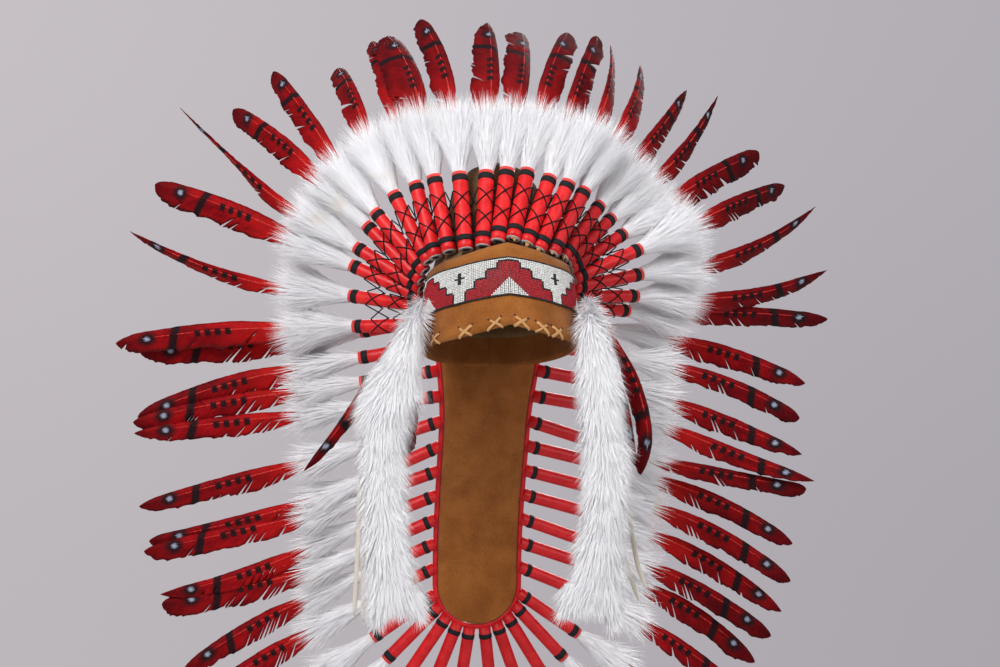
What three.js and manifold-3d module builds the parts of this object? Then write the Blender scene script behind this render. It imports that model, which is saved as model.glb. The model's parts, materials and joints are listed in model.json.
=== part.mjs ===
// A feathered headdress: a suede cap and beaded brow band that carry a fan of 23 plumes,
// with a long trailer of plumes behind and a fur drop, two feathers and a tie at each temple.
//
// Millimetres. +Z is up, -Y is the front of the head and +X is to the right as seen from the front.
// The origin is the middle of the head opening, where the brow band sits on the head.

import * as THREE from 'three';
import { mergeVertices } from 'three/addons/utils/BufferGeometryUtils.js';
import Module from 'manifold-3d';

const wasm = await Module();
wasm.setup();

// ---------------------------------------------------------------- driving dimensions

const CLEARANCE = 0.3; // between pieces that touch

const HEAD = {
  halfWidth: 85, // outer face of the band at its lower rim
  halfDepth: 97,
  squareness: 2.3, // exponent of the oval: 2 is an ellipse, more is squarer at the temples
  taper: 0.09, // how much the wall leans in for each millimetre of height
  pitch: THREE.MathUtils.degToRad(-14), // the front of the rim is raised
  steps: 40,
};

const BAND = {
  thickness: 2.5,
  sideHeight: 75,
  crestHeight: 11.5, // extra height at the middle of the forehead
  crestReach: 55, // where the crest has died out, to each side
  backHeight: 48,
};

const STRIP = {
  thickness: 2.2,
  standOff: 0.5,
  topAtSides: 67.5,
  crestHeight: 7,
  height: 43.2,
  stepsEachSide: 9,
};

// The cap's sections, in the pitched frame of the head. Below the band's edge it follows the band.
const CAP_WALL = 1.8;
const CAP_SIDES = 16;
const CAP_SEAM = 0.3; // gap between the cap's panels
const CAP_PANELS = ['front', 'right', 'left'];
const CAP_SECTIONS = [
  { height: 30, halfWidth: 79.2, front: 91.2, back: 91.2 },
  { height: 72, halfWidth: 75.4, front: 87.4, back: 87.4 },
  { height: 92, halfWidth: 68.0, front: 67.0, back: 84.0 },
  { height: 130, halfWidth: 59.0, front: 56.0, back: 74.0 },
  { height: 176, halfWidth: 45.0, front: 42.5, back: 44.0 },
  { height: 194, halfWidth: 31.0, front: 31.0, back: 22.0 },
  { height: 202, halfWidth: 14.0, front: 17.0, back: 5.0 },
];

const SHEATH = {
  length: 90,
  depth: 12.8,
  bore: 6,
  sides: 8,
};

const PLUME = {
  sides: 6,
  quillRadius: 2.4,
  quillDepth: 40, // how far the quill stands in its sheath
  tuftLength: 76,
  lockDepth: 7, // how far the locks of the tuft step in and out at its end
  neighbourShare: 0.46, // widest tuft, as a share of the distance to the next plume
  bladeShift: 0.15, // how far the blade stands off its shaft, as a share of its half width
};

// Sections of a plume beyond its sheath. The tuft's widths are in millimetres, and the blade's
// widths are shares of the feather's own half width.
const TUFT_SECTIONS = [
  { along: 0.4, halfWidth: 5.2, halfDepth: 5.0 },
  { along: 40, halfWidth: 14.0, halfDepth: 8.8 },
];
const TUFT_END = { halfWidth: 18.5, halfDepth: 9.5 };
const BLADE_SECTIONS = [
  { share: 0.27, width: 0.55, halfDepth: 1.3 },
  { share: 0.5, width: 1.0, halfDepth: 1.1 },
  { share: 0.82, width: 0.84, halfDepth: 0.8 },
  { share: 1.0, width: 0.22, halfDepth: 0.6 },
];

// The crown, from the wearer's right temple over the forehead to the left temple.
// x, y, z: lower end of the sheath. fan: angle from upright, seen from the front. back: lean to
// the rear. turn and bend: how much fan and back change from the sheath to the tip.
// length: feather beyond the sheath. tube: sheath's width. wide: blade's width. twist: of the blade.
const CROWN = [
  { x: -69, y: 70, z: 24, fan: -92, back: 24, turn: -4, bend: -24, length: 272, tube: 13, wide: 30, twist: 8 },
  { x: -78.5, y: 50, z: 43, fan: -81, back: 30, turn: 15, bend: -32, length: 266, tube: 13, wide: 20, twist: 30 },
  { x: -81, y: 36, z: 52, fan: -64, back: 22, turn: -5, bend: 8, length: 262, tube: 13, wide: 30, twist: 5 },
  { x: -83, y: 24, z: 62, fan: -56, back: 24, turn: 11, bend: -12, length: 262, tube: 13, wide: 22, twist: 48 },
  { x: -84, y: 11, z: 70.5, fan: -43, back: 22, turn: -6, bend: 35, length: 262, tube: 13, wide: 26, twist: 10 },
  { x: -81, y: 0, z: 80, fan: -38, back: 22, turn: 13, bend: 35, length: 262, tube: 13, wide: 26, twist: 12 },
  { x: -78, y: -12, z: 90, fan: -25, back: 23, turn: 17, bend: 53, length: 262, tube: 13.4, wide: 26, twist: 15 },
  { x: -71.6, y: -24, z: 94.5, fan: -13, back: 23, turn: 5, bend: 48, length: 270, tube: 14, wide: 22, twist: 12 },
  { x: -58.5, y: -36, z: 100, fan: -9, back: 23, turn: -7, bend: 44, length: 255, tube: 14.6, wide: 38, twist: -4 },
  { x: -42.2, y: -49, z: 102, fan: -2, back: 24, turn: -14, bend: 37, length: 262, tube: 15, wide: 27, twist: 10 },
  { x: -25, y: -56, z: 105, fan: 6, back: 26, turn: 2, bend: 36, length: 262, tube: 15, wide: 32, twist: 0 },
  { x: -9.2, y: -57, z: 110.5, fan: 11, back: 28, turn: 6, bend: 38, length: 262, tube: 15, wide: 30, twist: -6 },
  { x: 6.9, y: -57, z: 113, fan: 16, back: 30, turn: 14, bend: 28, length: 262, tube: 14.6, wide: 27, twist: 8 },
  { x: 21.4, y: -55, z: 108, fan: 23, back: 28, turn: 4, bend: 26, length: 254, tube: 14.6, wide: 26, twist: -10 },
  { x: 35, y: -50, z: 102, fan: 27, back: 23, turn: -7, bend: 44, length: 276, tube: 14.6, wide: 20, twist: -24 },
  { x: 51, y: -41, z: 98, fan: 30, back: 25, turn: 2, bend: 39, length: 262, tube: 14.4, wide: 24, twist: -14 },
  { x: 64, y: -28, z: 94.5, fan: 39, back: 32, turn: 7, bend: 19, length: 262, tube: 13.4, wide: 25, twist: -16 },
  { x: 70.6, y: -14, z: 89.5, fan: 48, back: 32, turn: -6, bend: 6, length: 262, tube: 12.8, wide: 24, twist: -20 },
  { x: 75, y: 0, z: 83, fan: 59, back: 29, turn: 5, bend: 12, length: 262, tube: 12.8, wide: 30, twist: -6 },
  { x: 81.5, y: 12, z: 73, fan: 67, back: 18, turn: 2, bend: 32, length: 262, tube: 13, wide: 27, twist: -8 },
  { x: 83, y: 27, z: 63.5, fan: 79, back: 22, turn: -18, bend: 2, length: 262, tube: 13, wide: 24, twist: -22 },
  { x: 82, y: 42, z: 54, fan: 89, back: 25, turn: -13, bend: -9, length: 262, tube: 13, wide: 24, twist: -14 },
  { x: 79, y: 55, z: 42, fan: 92, back: 30, turn: 0, bend: -29, length: 262, tube: 13, wide: 24, twist: -8 },
];

const TRAILER = {
  thickness: 3,
  top: 46,
  arcCentre: -280, // height of the middle of the rounded end
  arcStep: 21.5, // degrees between sections of the rounded end
  topHalfWidth: 54,
  halfWidth: 46,
  narrowFrom: 10,
  narrowTo: -90,
  backAtCap: 104,
  backAtEnd: 221,
  leaveCap: 20,
  reachBack: -270,
  bindingWidth: 6,
  bindingDepth: 7,
  seat: 4, // from the strip's edge to the end of a sheath
  firstRow: 30,
  rowSpacing: 29,
  straightRows: 11,
  arcFirst: 12, // degrees below level, on the rounded end
  arcSpacing: 17,
  tube: 12.8,
  tuftHalfWidth: 13.5,
};

// Trailer plumes, from the top down. slope: degrees below level. The last five go round the end.
const TRAILER_LEFT = [
  { slope: 10, turn: -9, back: 20, bend: -14, length: 256, wide: 28 },
  { slope: 10, turn: 10, back: 15, bend: -12, length: 260, wide: 30 },
  { slope: 9, turn: 2, back: 13, bend: -12, length: 260, wide: 24 },
  { slope: 8, turn: -3, back: 10, bend: -12, length: 257, wide: 24 },
  { slope: 18, turn: -6, back: 10, bend: -12, length: 265, wide: 24 },
  { slope: 25, turn: -18, back: 12, bend: -12, length: 262, wide: 22 },
  { slope: 20, turn: -13, back: 8, bend: -12, length: 259, wide: 27 },
  { slope: 22, turn: -6, back: 10, bend: -12, length: 249, wide: 24 },
  { slope: 24, turn: -19, back: 8, bend: -12, length: 243, wide: 30 },
  { slope: 24, turn: 8, back: 10, bend: -12, length: 240, wide: 26 },
  { slope: 28, turn: 4, back: 9, bend: -12, length: 238, wide: 26 },
  { slope: 36, turn: 3, back: 10, bend: -12, length: 244, wide: 24 },
  { slope: 46, turn: 5, back: 8, bend: -12, length: 248, wide: 26 },
  { slope: 57, turn: 2, back: 10, bend: -12, length: 244, wide: 25 },
  { slope: 69, turn: 4, back: 8, bend: -12, length: 250, wide: 27 },
  { slope: 82, turn: 1, back: 10, bend: -12, length: 246, wide: 25 },
];
const TRAILER_RIGHT = [
  { slope: 8, turn: 13, back: 20, bend: -14, length: 260, wide: 26 },
  { slope: 8, turn: 20, back: 15, bend: -12, length: 245, wide: 22 },
  { slope: 11, turn: 17, back: 13, bend: -12, length: 250, wide: 23 },
  { slope: 10, turn: 18, back: 10, bend: -12, length: 265, wide: 22 },
  { slope: 18, turn: -11, back: 10, bend: -12, length: 255, wide: 20 },
  { slope: 14, turn: 17, back: 12, bend: -12, length: 260, wide: 24 },
  { slope: 15, turn: 21, back: 8, bend: -12, length: 260, wide: 24 },
  { slope: 16, turn: 23, back: 10, bend: -12, length: 262, wide: 25 },
  { slope: 20, turn: 15, back: 8, bend: -12, length: 248, wide: 24 },
  { slope: 19, turn: 23, back: 10, bend: -12, length: 240, wide: 26 },
  { slope: 23, turn: 19, back: 9, bend: -12, length: 238, wide: 24 },
  { slope: 35, turn: 9, back: 10, bend: -12, length: 246, wide: 25 },
  { slope: 47, turn: 6, back: 8, bend: -12, length: 244, wide: 24 },
  { slope: 58, turn: 4, back: 10, bend: -12, length: 250, wide: 26 },
  { slope: 70, turn: 2, back: 8, bend: -12, length: 245, wide: 25 },
  { slope: 83, turn: 1, back: 10, bend: -12, length: 250, wide: 26 },
];

// Fur drops: sections of the hanging tail, from the temple down, and its two tips.
const DROP_LEFT = {
  rows: [
    { z: 50, x: -88, y: -38, halfWidth: 6, halfDepth: 5 },
    { z: 36, x: -94, y: -48, halfWidth: 13, halfDepth: 9 },
    { z: 8, x: -105, y: -60, halfWidth: 22, halfDepth: 14 },
    { z: -46, x: -123, y: -78, halfWidth: 35, halfDepth: 18 },
    { z: -80, x: -132, y: -86, halfWidth: 27, halfDepth: 17 },
    { z: -110, x: -133, y: -91, halfWidth: 26, halfDepth: 17 },
    { z: -160, x: -132, y: -95, halfWidth: 25, halfDepth: 17 },
    { z: -221, x: -128, y: -98, halfWidth: 27, halfDepth: 17 },
    { z: -262, x: -123, y: -98, halfWidth: 28, halfDepth: 15 },
  ],
  tips: [
    { x: -137, z: -295, rootX: -134 },
    { x: -97, z: -289, rootX: -108 },
  ],
};
const DROP_RIGHT = {
  rows: [
    { z: 50, x: 88, y: -42, halfWidth: 6, halfDepth: 5 },
    { z: 40, x: 89, y: -54, halfWidth: 13, halfDepth: 9 },
    { z: 22, x: 88, y: -69, halfWidth: 20, halfDepth: 12 },
    { z: -22, x: 93, y: -77, halfWidth: 26, halfDepth: 15 },
    { z: -65, x: 96, y: -83, halfWidth: 26, halfDepth: 17 },
    { z: -110, x: 100, y: -91, halfWidth: 28, halfDepth: 17 },
    { z: -174, x: 97, y: -96, halfWidth: 26, halfDepth: 17 },
    { z: -240, x: 90, y: -98, halfWidth: 31, halfDepth: 17 },
    { z: -262, x: 85, y: -98, halfWidth: 31, halfDepth: 15 },
  ],
  tips: [
    { x: 57, z: -289, rootX: 68 },
    { x: 104, z: -301, rootX: 101 },
  ],
};
const DROP_LOCKS = 6;
const DROP_LOCK_RELIEF = 0.1;

// Loose feathers behind the drops: the points that the shaft passes, and the blade's width.
const DROP_FEATHERS_LEFT = [
  { points: [[-92, -12, 40], [-112, -24, 18], [-150, -32, -38], [-212, -34, -131]], wide: 15 },
  { points: [[-93, -18, 26], [-97, -30, -20], [-103, -42, -70], [-106, -48, -114]], wide: 20 },
];
const DROP_FEATHERS_RIGHT = [
  { points: [[93, -12, 40], [113, -24, 17], [138, -34, -35], [152, -40, -95], [146, -40, -137]], wide: 18 },
  { points: [[93, -18, 26], [108, -36, -16], [128, -48, -60], [139, -52, -128]], wide: 15 },
];

// Tie thongs: the points of each tail's route, from the band down.
const TIE = { width: 5, thickness: 1.6, sides: 8, step: 15, knotRadius: 5 };
const TIE_LEFT = [
  [[-92, -2, 8], [-96, -10, -10], [-112, -34, -45], [-138, -56, -90], [-153, -66, -130], [-157, -70, -205],
    [-161, -70, -279]],
  [[-92, -2, 8], [-94, -8, -12], [-106, -30, -52], [-128, -54, -110], [-144, -66, -160], [-151, -72, -210],
    [-152, -72, -285]],
];
const TIE_RIGHT = [
  [[90, -2, 8], [92, -10, -12], [100, -36, -52], [112, -58, -100], [120, -68, -134], [128, -70, -178],
    [137, -70, -228], [147, -70, -256]],
  [[90, -2, 8], [91, -8, -14], [95, -32, -60], [102, -56, -116], [112, -68, -170], [123, -72, -221],
    [138, -72, -268]],
];

const COLOURS = {
  suede: 0xa9642f,
  capSuede: 0x6f4a28,
  beads: 0xeceae4,
  redCloth: 0xe5282c,
  feather: 0x9e1620,
  fluff: 0xecebf0,
  thong: 0xe6dccb,
};

// ---------------------------------------------------------------- general shapes

const material = (colour, roughness) => (
  new THREE.MeshStandardMaterial({ color: colour, roughness, metalness: 0 })
);

const MATERIALS = {
  suede: material(COLOURS.suede, 0.95),
  capSuede: material(COLOURS.capSuede, 0.95),
  beads: material(COLOURS.beads, 0.25),
  redCloth: material(COLOURS.redCloth, 0.6),
  feather: material(COLOURS.feather, 0.55),
  fluff: material(COLOURS.fluff, 0.9),
  thong: material(COLOURS.thong, 0.9),
};

const radians = THREE.MathUtils.degToRad;
const vector = (x, y, z) => new THREE.Vector3(x, y, z);

// Six times the signed volume inside a closed surface: negative where its faces point inwards.
function signedVolume(position, index) {
  const corner = (i) => vector(...position.slice(3 * index[i], 3 * index[i] + 3));
  let sum = 0;
  for (let i = 0; i < index.length; i += 3) {
    sum += corner(i).dot(corner(i + 1).cross(corner(i + 2)));
  }
  return sum;
}

// Skins a row of rings with equal point counts. A loop joins the last ring to the first;
// otherwise both ends are capped.
function loft(rings, { loop = false } = {}) {
  const count = rings[0].length;
  const position = rings.flat().flatMap((point) => point.toArray());
  const index = [];
  const bands = loop ? rings.length : rings.length - 1;
  for (let r = 0; r < bands; r += 1) {
    const here = r * count;
    const next = ((r + 1) % rings.length) * count;
    for (let k = 0; k < count; k += 1) {
      const m = (k + 1) % count;
      index.push(here + k, here + m, next + m, here + k, next + m, next + k);
    }
  }
  if (!loop) {
    const last = (rings.length - 1) * count;
    for (let k = 1; k < count - 1; k += 1) {
      index.push(0, k + 1, k, last, last + k, last + k + 1);
    }
  }
  if (signedVolume(position, index) < 0) {
    index.reverse();
  }
  const geometry = new THREE.BufferGeometry();
  geometry.setAttribute('position', new THREE.Float32BufferAttribute(position, 3));
  geometry.setIndex(index);
  return geometry;
}

// An oval of points round a station. lock steps every second point forward, for ragged ends.
function oval(station, halfWidth, halfDepth, count, { lock = 0, shift = 0 } = {}) {
  const ring = [];
  for (let k = 0; k < count; k += 1) {
    const angle = (2 * Math.PI * k) / count;
    ring.push(station.point.clone()
      .addScaledVector(station.across, halfWidth * Math.cos(angle) + shift)
      .addScaledVector(station.face, halfDepth * Math.sin(angle))
      .addScaledVector(station.ahead, k % 2 === 0 ? lock : -lock));
  }
  return ring;
}

function toSolid(geometry) {
  const bare = geometry.clone();
  bare.deleteAttribute('normal');
  bare.deleteAttribute('uv');
  const merged = mergeVertices(bare, 1e-4);
  return new wasm.Manifold(new wasm.Mesh({
    numProp: 3,
    vertProperties: new Float32Array(merged.attributes.position.array),
    triVerts: new Uint32Array(merged.index.array),
  }));
}

function toGeometry(solid) {
  const mesh = solid.getMesh();
  const geometry = new THREE.BufferGeometry();
  geometry.setAttribute('position', new THREE.BufferAttribute(mesh.vertProperties, 3));
  geometry.setIndex(new THREE.BufferAttribute(mesh.triVerts, 1));
  return geometry;
}

const fuse = (geometries) => (
  toGeometry(geometries.map(toSolid).reduce((whole, part) => whole.add(part)))
);

function named(name, geometry, finish) {
  const mesh = new THREE.Mesh(geometry, finish);
  mesh.name = name;
  return mesh;
}

// ---------------------------------------------------------------- cap, band and bead strip

const power = (value) => Math.sign(value) * Math.abs(value) ** (2 / HEAD.squareness);

// A point of the head's oval. The angle is 0 at the front and grows towards +X.
function ovalPoint(angle, halfWidth, front, back, height) {
  const depth = Math.cos(angle) > 0 ? front : back;
  return vector(halfWidth * power(Math.sin(angle)), -depth * power(Math.cos(angle)), height);
}

// The same, on the leaning wall of the band, some way out from its outer face.
function wallPoint(angle, height, out) {
  const grow = out - HEAD.taper * height;
  const depth = HEAD.halfDepth + grow;
  return ovalPoint(angle, HEAD.halfWidth + grow, depth, depth, height);
}

// The crest over the forehead: 1 in the middle and 0 from crestReach outwards.
function crest(angle) {
  const x = HEAD.halfWidth * Math.abs(power(Math.sin(angle)));
  return Math.cos(angle) > 0 ? Math.max(0, 1 - x / BAND.crestReach) : 0;
}

const bandTop = (angle) => (
  BAND.sideHeight + BAND.crestHeight * crest(angle)
  - (BAND.sideHeight - BAND.backHeight) * Math.min(0, Math.cos(angle)) ** 2
);

// The hem is cut so that, seen from the front, it runs straight down from the crease to each side.
function bandHem(angle) {
  if (Math.cos(angle) <= 0) {
    return 0;
  }
  const rise = HEAD.halfDepth * Math.sin(-HEAD.pitch);
  const level = rise * (1 - Math.abs(power(Math.sin(angle))));
  return (level - rise * power(Math.cos(angle))) / Math.cos(HEAD.pitch);
}

const stepAngle = (step) => (2 * Math.PI * step) / HEAD.steps;

function makeBrowBand() {
  const rings = [];
  for (let step = 0; step < HEAD.steps; step += 1) {
    const angle = stepAngle(step);
    const low = bandHem(angle);
    const high = bandTop(angle);
    rings.push([
      wallPoint(angle, low, 0),
      wallPoint(angle, high, 0),
      wallPoint(angle, high, -BAND.thickness),
      wallPoint(angle, low, -BAND.thickness),
    ]);
  }
  return named('brow_band', loft(rings, { loop: true }), MATERIALS.suede);
}

function makeBeadStrip() {
  const rings = [];
  for (let step = -STRIP.stepsEachSide; step <= STRIP.stepsEachSide; step += 1) {
    const angle = stepAngle(step);
    const high = STRIP.topAtSides + STRIP.crestHeight * crest(angle);
    const low = high - STRIP.height;
    const out = STRIP.standOff + STRIP.thickness;
    rings.push([
      wallPoint(angle, low, STRIP.standOff),
      wallPoint(angle, low, out),
      wallPoint(angle, high, out),
      wallPoint(angle, high, STRIP.standOff),
    ]);
  }
  return named('bead_strip', loft(rings), MATERIALS.beads);
}

// The part of space that one panel of the cap lies in, up to half a seam's gap from its edges.
function panelWedge(turn) {
  const half = Math.PI / CAP_PANELS.length;
  const reach = (2 * HEAD.halfDepth) / Math.cos(half);
  const apex = -CAP_SEAM / 2 / Math.sin(half);
  const far = apex - reach * Math.cos(half);
  const side = reach * Math.sin(half);
  const corners = (height) => (
    [[0, apex], [-side, far], [side, far]].map(([x, y]) => (
      vector(x, y, height).applyAxisAngle(vector(0, 0, 1), turn)))
  );
  return toSolid(loft([corners(0), corners(2 * CAP_SECTIONS[CAP_SECTIONS.length - 1].height)]));
}

// The cap is sewn from three panels, one over the forehead and one to each side of the back seam.
function makeCapPanels() {
  const ring = (section, inset, lower) => (
    Array.from({ length: CAP_SIDES }, (_, k) => ovalPoint(
      (2 * Math.PI * k) / CAP_SIDES,
      section.halfWidth - inset,
      section.front - inset,
      section.back - inset,
      section.height - lower,
    ))
  );
  const outer = CAP_SECTIONS.map((section) => ring(section, 0, 0)).reverse();
  const inner = CAP_SECTIONS.map((section, i) => ring(section, CAP_WALL, i === 0 ? 0 : CAP_WALL / 2));
  inner[inner.length - 1].forEach((point) => point.setZ(point.z - CAP_WALL / 2));
  const shell = toSolid(loft([...outer, ...inner]));
  return CAP_PANELS.map((side, i) => {
    const wedge = panelWedge((2 * Math.PI * i) / CAP_PANELS.length);
    return named(`cap_panel_${side}`, toGeometry(shell.intersect(wedge)), MATERIALS.capSuede);
  });
}

// ---------------------------------------------------------------- plumes

const heading = (fan, back) => vector(
  Math.sin(radians(fan)) * Math.cos(radians(back)),
  Math.sin(radians(back)),
  Math.cos(radians(fan)) * Math.cos(radians(back)),
);

// A plume's line: straight in its sheath, then a curve whose two angles change evenly to the tip.
// Gives the station at a distance from the sheath's outer end, with its across and face directions.
function plumeLine(row) {
  const start = heading(row.fan, row.back);
  const top = vector(row.x, row.y, row.z).addScaledVector(start, SHEATH.length);
  const steps = 40;
  const points = [top];
  for (let i = 0; i < steps; i += 1) {
    const share = (i + 0.5) / steps;
    const ahead = heading(row.fan + row.turn * share, row.back + row.bend * share);
    points.push(points[i].clone().addScaledVector(ahead, row.length / steps));
  }
  return (along, twist = 0) => {
    const share = THREE.MathUtils.clamp(along / row.length, 0, 1);
    const fan = row.fan + row.turn * share;
    const ahead = heading(fan, row.back + row.bend * share);
    const across = vector(Math.cos(radians(fan)), 0, -Math.sin(radians(fan)));
    const face = across.clone().cross(ahead);
    across.applyAxisAngle(ahead, -radians(twist));
    face.applyAxisAngle(ahead, -radians(twist));
    const step = Math.min(Math.floor(share * steps), steps - 1);
    const point = along <= 0
      ? top.clone().addScaledVector(start, along)
      : points[step].clone().lerp(points[step + 1], share * steps - step);
    return { point, ahead, across, face };
  };
}

// A hollow sheath: outer wall up, inner wall down.
function makeSheath(name, row, line) {
  const ring = (along, halfWidth, halfDepth) => oval(line(along), halfWidth, halfDepth, SHEATH.sides);
  const rings = [
    ring(-SHEATH.length, row.tube / 2, SHEATH.depth / 2),
    ring(0, row.tube / 2, SHEATH.depth / 2),
    ring(0, SHEATH.bore / 2, SHEATH.bore / 2),
    ring(-SHEATH.length, SHEATH.bore / 2, SHEATH.bore / 2),
  ];
  return named(name, loft(rings, { loop: true }), MATERIALS.redCloth);
}

// Tuft and blade: the tuft swells to a ragged end, and the blade comes out of its middle.
// limit gives the widest half width that the neighbours leave at a distance along the plume.
function tuftAndBlade(row, line, limit) {
  const narrower = (width, along) => Math.min(width, limit(along));
  const side = Math.sign(row.fan) || 1;
  const tuft = TUFT_SECTIONS.map(({ along, halfWidth, halfDepth }) => (
    oval(line(along), narrower(halfWidth, along), halfDepth, PLUME.sides)
  ));
  tuft.push(oval(
    line(PLUME.tuftLength),
    narrower(TUFT_END.halfWidth, PLUME.tuftLength),
    TUFT_END.halfDepth,
    PLUME.sides,
    { lock: PLUME.lockDepth },
  ));
  const blade = BLADE_SECTIONS.map(({ share, width, halfDepth }) => {
    const halfWidth = (width * row.wide) / 2;
    const station = line(share * row.length, (row.twist ?? 0) * share);
    return oval(station, halfWidth, halfDepth, PLUME.sides, { shift: side * PLUME.bladeShift * halfWidth });
  });
  return [...tuft, ...blade];
}

function makeCrownPlume(name, row, line, limit) {
  const { quillRadius, quillDepth } = PLUME;
  const quill = [-quillDepth, TUFT_SECTIONS[0].along - 0.1].map((along) => (
    oval(line(along), quillRadius, quillRadius, PLUME.sides)
  ));
  const rings = [...quill, ...tuftAndBlade(row, line, limit)];
  return named(name, loft(rings), MATERIALS.fluff);
}

function makeCrown() {
  const crown = new THREE.Group();
  const lines = CROWN.map(plumeLine);
  CROWN.forEach((row, i) => {
    const number = String(i + 1).padStart(2, '0');
    const neighbours = [lines[i - 1], lines[i + 1]].filter(Boolean);
    const limit = (along) => PLUME.neighbourShare * Math.min(
      ...neighbours.map((line) => line(along).point.distanceTo(lines[i](along).point)),
    );
    crown.add(makeSheath(`crown_sheath_${number}`, row, lines[i]));
    crown.add(makeCrownPlume(`crown_plume_${number}`, row, lines[i], limit));
  });
  return crown;
}

// ---------------------------------------------------------------- trailer

// How far back the strip hangs at a height: it leaves the cap, sweeps back and then falls straight.
const trailerBack = (z) => THREE.MathUtils.lerp(
  TRAILER.backAtCap,
  TRAILER.backAtEnd,
  THREE.MathUtils.smoothstep(-z, -TRAILER.leaveCap, -TRAILER.reachBack),
);

const trailerHalfWidth = (z) => THREE.MathUtils.lerp(
  TRAILER.topHalfWidth,
  TRAILER.halfWidth,
  THREE.MathUtils.smoothstep(-z, -TRAILER.narrowFrom, -TRAILER.narrowTo),
);

// A place on the strip's edge, on the straight side or round the end, with its outward direction.
function straightEdge(side, z) {
  return { x: side * trailerHalfWidth(z), z, out: [side, 0] };
}

function arcEdge(side, degrees) {
  const out = [side * Math.cos(radians(degrees)), -Math.sin(radians(degrees))];
  return {
    x: TRAILER.halfWidth * out[0],
    z: TRAILER.arcCentre + TRAILER.halfWidth * out[1],
    out,
  };
}

// The stations of one edge, from the first row down and round to the middle of the end.
function edgeStations(side) {
  const stations = [];
  for (let row = 0; row < TRAILER.straightRows; row += 1) {
    stations.push(straightEdge(side, TRAILER.firstRow - TRAILER.rowSpacing * row));
  }
  for (let degrees = 0; degrees < 90; degrees += TRAILER.arcStep) {
    stations.push(arcEdge(side, degrees));
  }
  return stations;
}

function makeTrailerStrip() {
  const rings = [straightEdge(1, TRAILER.top), ...edgeStations(1)].map(({ x: halfWidth, z }) => {
    const slope = (trailerBack(z - 1) - trailerBack(z + 1)) / 2;
    const normal = vector(0, -1, -slope).normalize().multiplyScalar(TRAILER.thickness / 2);
    return [[-1, -1], [1, -1], [1, 1], [-1, 1]].map(([across, through]) => (
      vector(across * halfWidth, trailerBack(z), z).addScaledVector(normal, through)
    ));
  });
  return named('trailer_strip', loft(rings), MATERIALS.suede);
}

const outFrom = (edge, distance, through = 0) => vector(
  edge.x + distance * edge.out[0],
  trailerBack(edge.z) + through,
  edge.z + distance * edge.out[1],
);

function makeBinding(side) {
  const half = TRAILER.bindingDepth / 2;
  return loft(edgeStations(side).map((edge) => [
    outFrom(edge, CLEARANCE, -half),
    outFrom(edge, CLEARANCE + TRAILER.bindingWidth, -half),
    outFrom(edge, CLEARANCE + TRAILER.bindingWidth, half),
    outFrom(edge, CLEARANCE, half),
  ]));
}

function makeTrailerPlumes(name, side, rows) {
  const parts = rows.map((row, i) => {
    const edge = i < TRAILER.straightRows
      ? straightEdge(side, TRAILER.firstRow - TRAILER.rowSpacing * i)
      : arcEdge(side, TRAILER.arcFirst + TRAILER.arcSpacing * (i - TRAILER.straightRows));
    const [x, y, z] = outFrom(edge, TRAILER.seat).toArray();
    const line = plumeLine({ ...row, x, y, z, fan: side * (90 + row.slope), turn: side * row.turn });
    const placed = { ...row, fan: side * (90 + row.slope) };
    const sheath = [-SHEATH.length, 0].map((along) => (
      oval(line(along), TRAILER.tube / 2, SHEATH.depth / 2, PLUME.sides)
    ));
    return loft([...sheath, ...tuftAndBlade(placed, line, () => TRAILER.tuftHalfWidth)]);
  });
  return named(name, fuse([makeBinding(side), ...parts]), MATERIALS.fluff);
}

// ---------------------------------------------------------------- drops, feathers and ties

const UPRIGHT = { ahead: vector(0, 0, -1), across: vector(1, 0, 0), face: vector(0, -1, 0) };

// A fur drop: a hanging tail in locks, with two tips fused to its lower end.
function makeFurDrop(name, drop) {
  const count = 2 * DROP_LOCKS;
  const body = drop.rows.map((row) => {
    const centre = vector(row.x, row.y, row.z);
    return oval({ ...UPRIGHT, point: centre }, row.halfWidth, row.halfDepth, count).map((point, k) => (
      point.sub(centre).multiplyScalar(1 + DROP_LOCK_RELIEF * (k % 2 === 0 ? 1 : -1)).add(centre)
    ));
  });
  const end = drop.rows[drop.rows.length - 1];
  const tips = drop.tips.map((tip) => {
    const at = (x, z) => ({ ...UPRIGHT, point: vector(x, end.y, z) });
    return loft([
      oval(at(tip.rootX, end.z + 14), end.halfWidth * 0.46, end.halfDepth * 0.8, 8),
      oval(at(tip.rootX, end.z - 2), end.halfWidth * 0.5, end.halfDepth * 0.8, 8),
      oval(at(tip.x, tip.z), 2.5, 2, 8),
    ]);
  });
  return named(name, fuse([loft(body), ...tips]), MATERIALS.fluff);
}

function stationOn(curve, share) {
  const ahead = curve.getTangentAt(share);
  const across = ahead.clone().cross(vector(0, 1, 0)).normalize();
  return { point: curve.getPointAt(share), ahead, across, face: across.clone().cross(ahead) };
}

const curveThrough = (points) => new THREE.CatmullRomCurve3(points.map((p) => vector(...p)));

// Two loose feathers whose quills are bound together at the band.
function makeDropFeathers(name, feathers) {
  const blades = feathers.map(({ points, wide }) => {
    const curve = curveThrough(points);
    const sections = [
      [0, 2.4, 2], [0.16, 2.2, 1.6], [0.34, wide * 0.38, 1.2], [0.6, wide / 2, 1],
      [0.86, wide * 0.38, 0.8], [1, 1.4, 0.6],
    ];
    return loft(sections.map(([share, halfWidth, halfDepth]) => (
      oval(stationOn(curve, share), halfWidth, halfDepth, 6)
    )));
  });
  const [first, second] = feathers.map(({ points }) => vector(...points[0]));
  const knot = { ahead: second.clone().sub(first).normalize(), across: vector(1, 0, 0) };
  knot.face = knot.across.clone().cross(knot.ahead).normalize();
  knot.across = knot.ahead.clone().cross(knot.face);
  const binding = loft([first, second].map((point) => oval({ ...knot, point }, 2.4, 2.4, 6)));
  return named(name, fuse([...blades, binding]), MATERIALS.feather);
}

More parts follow.
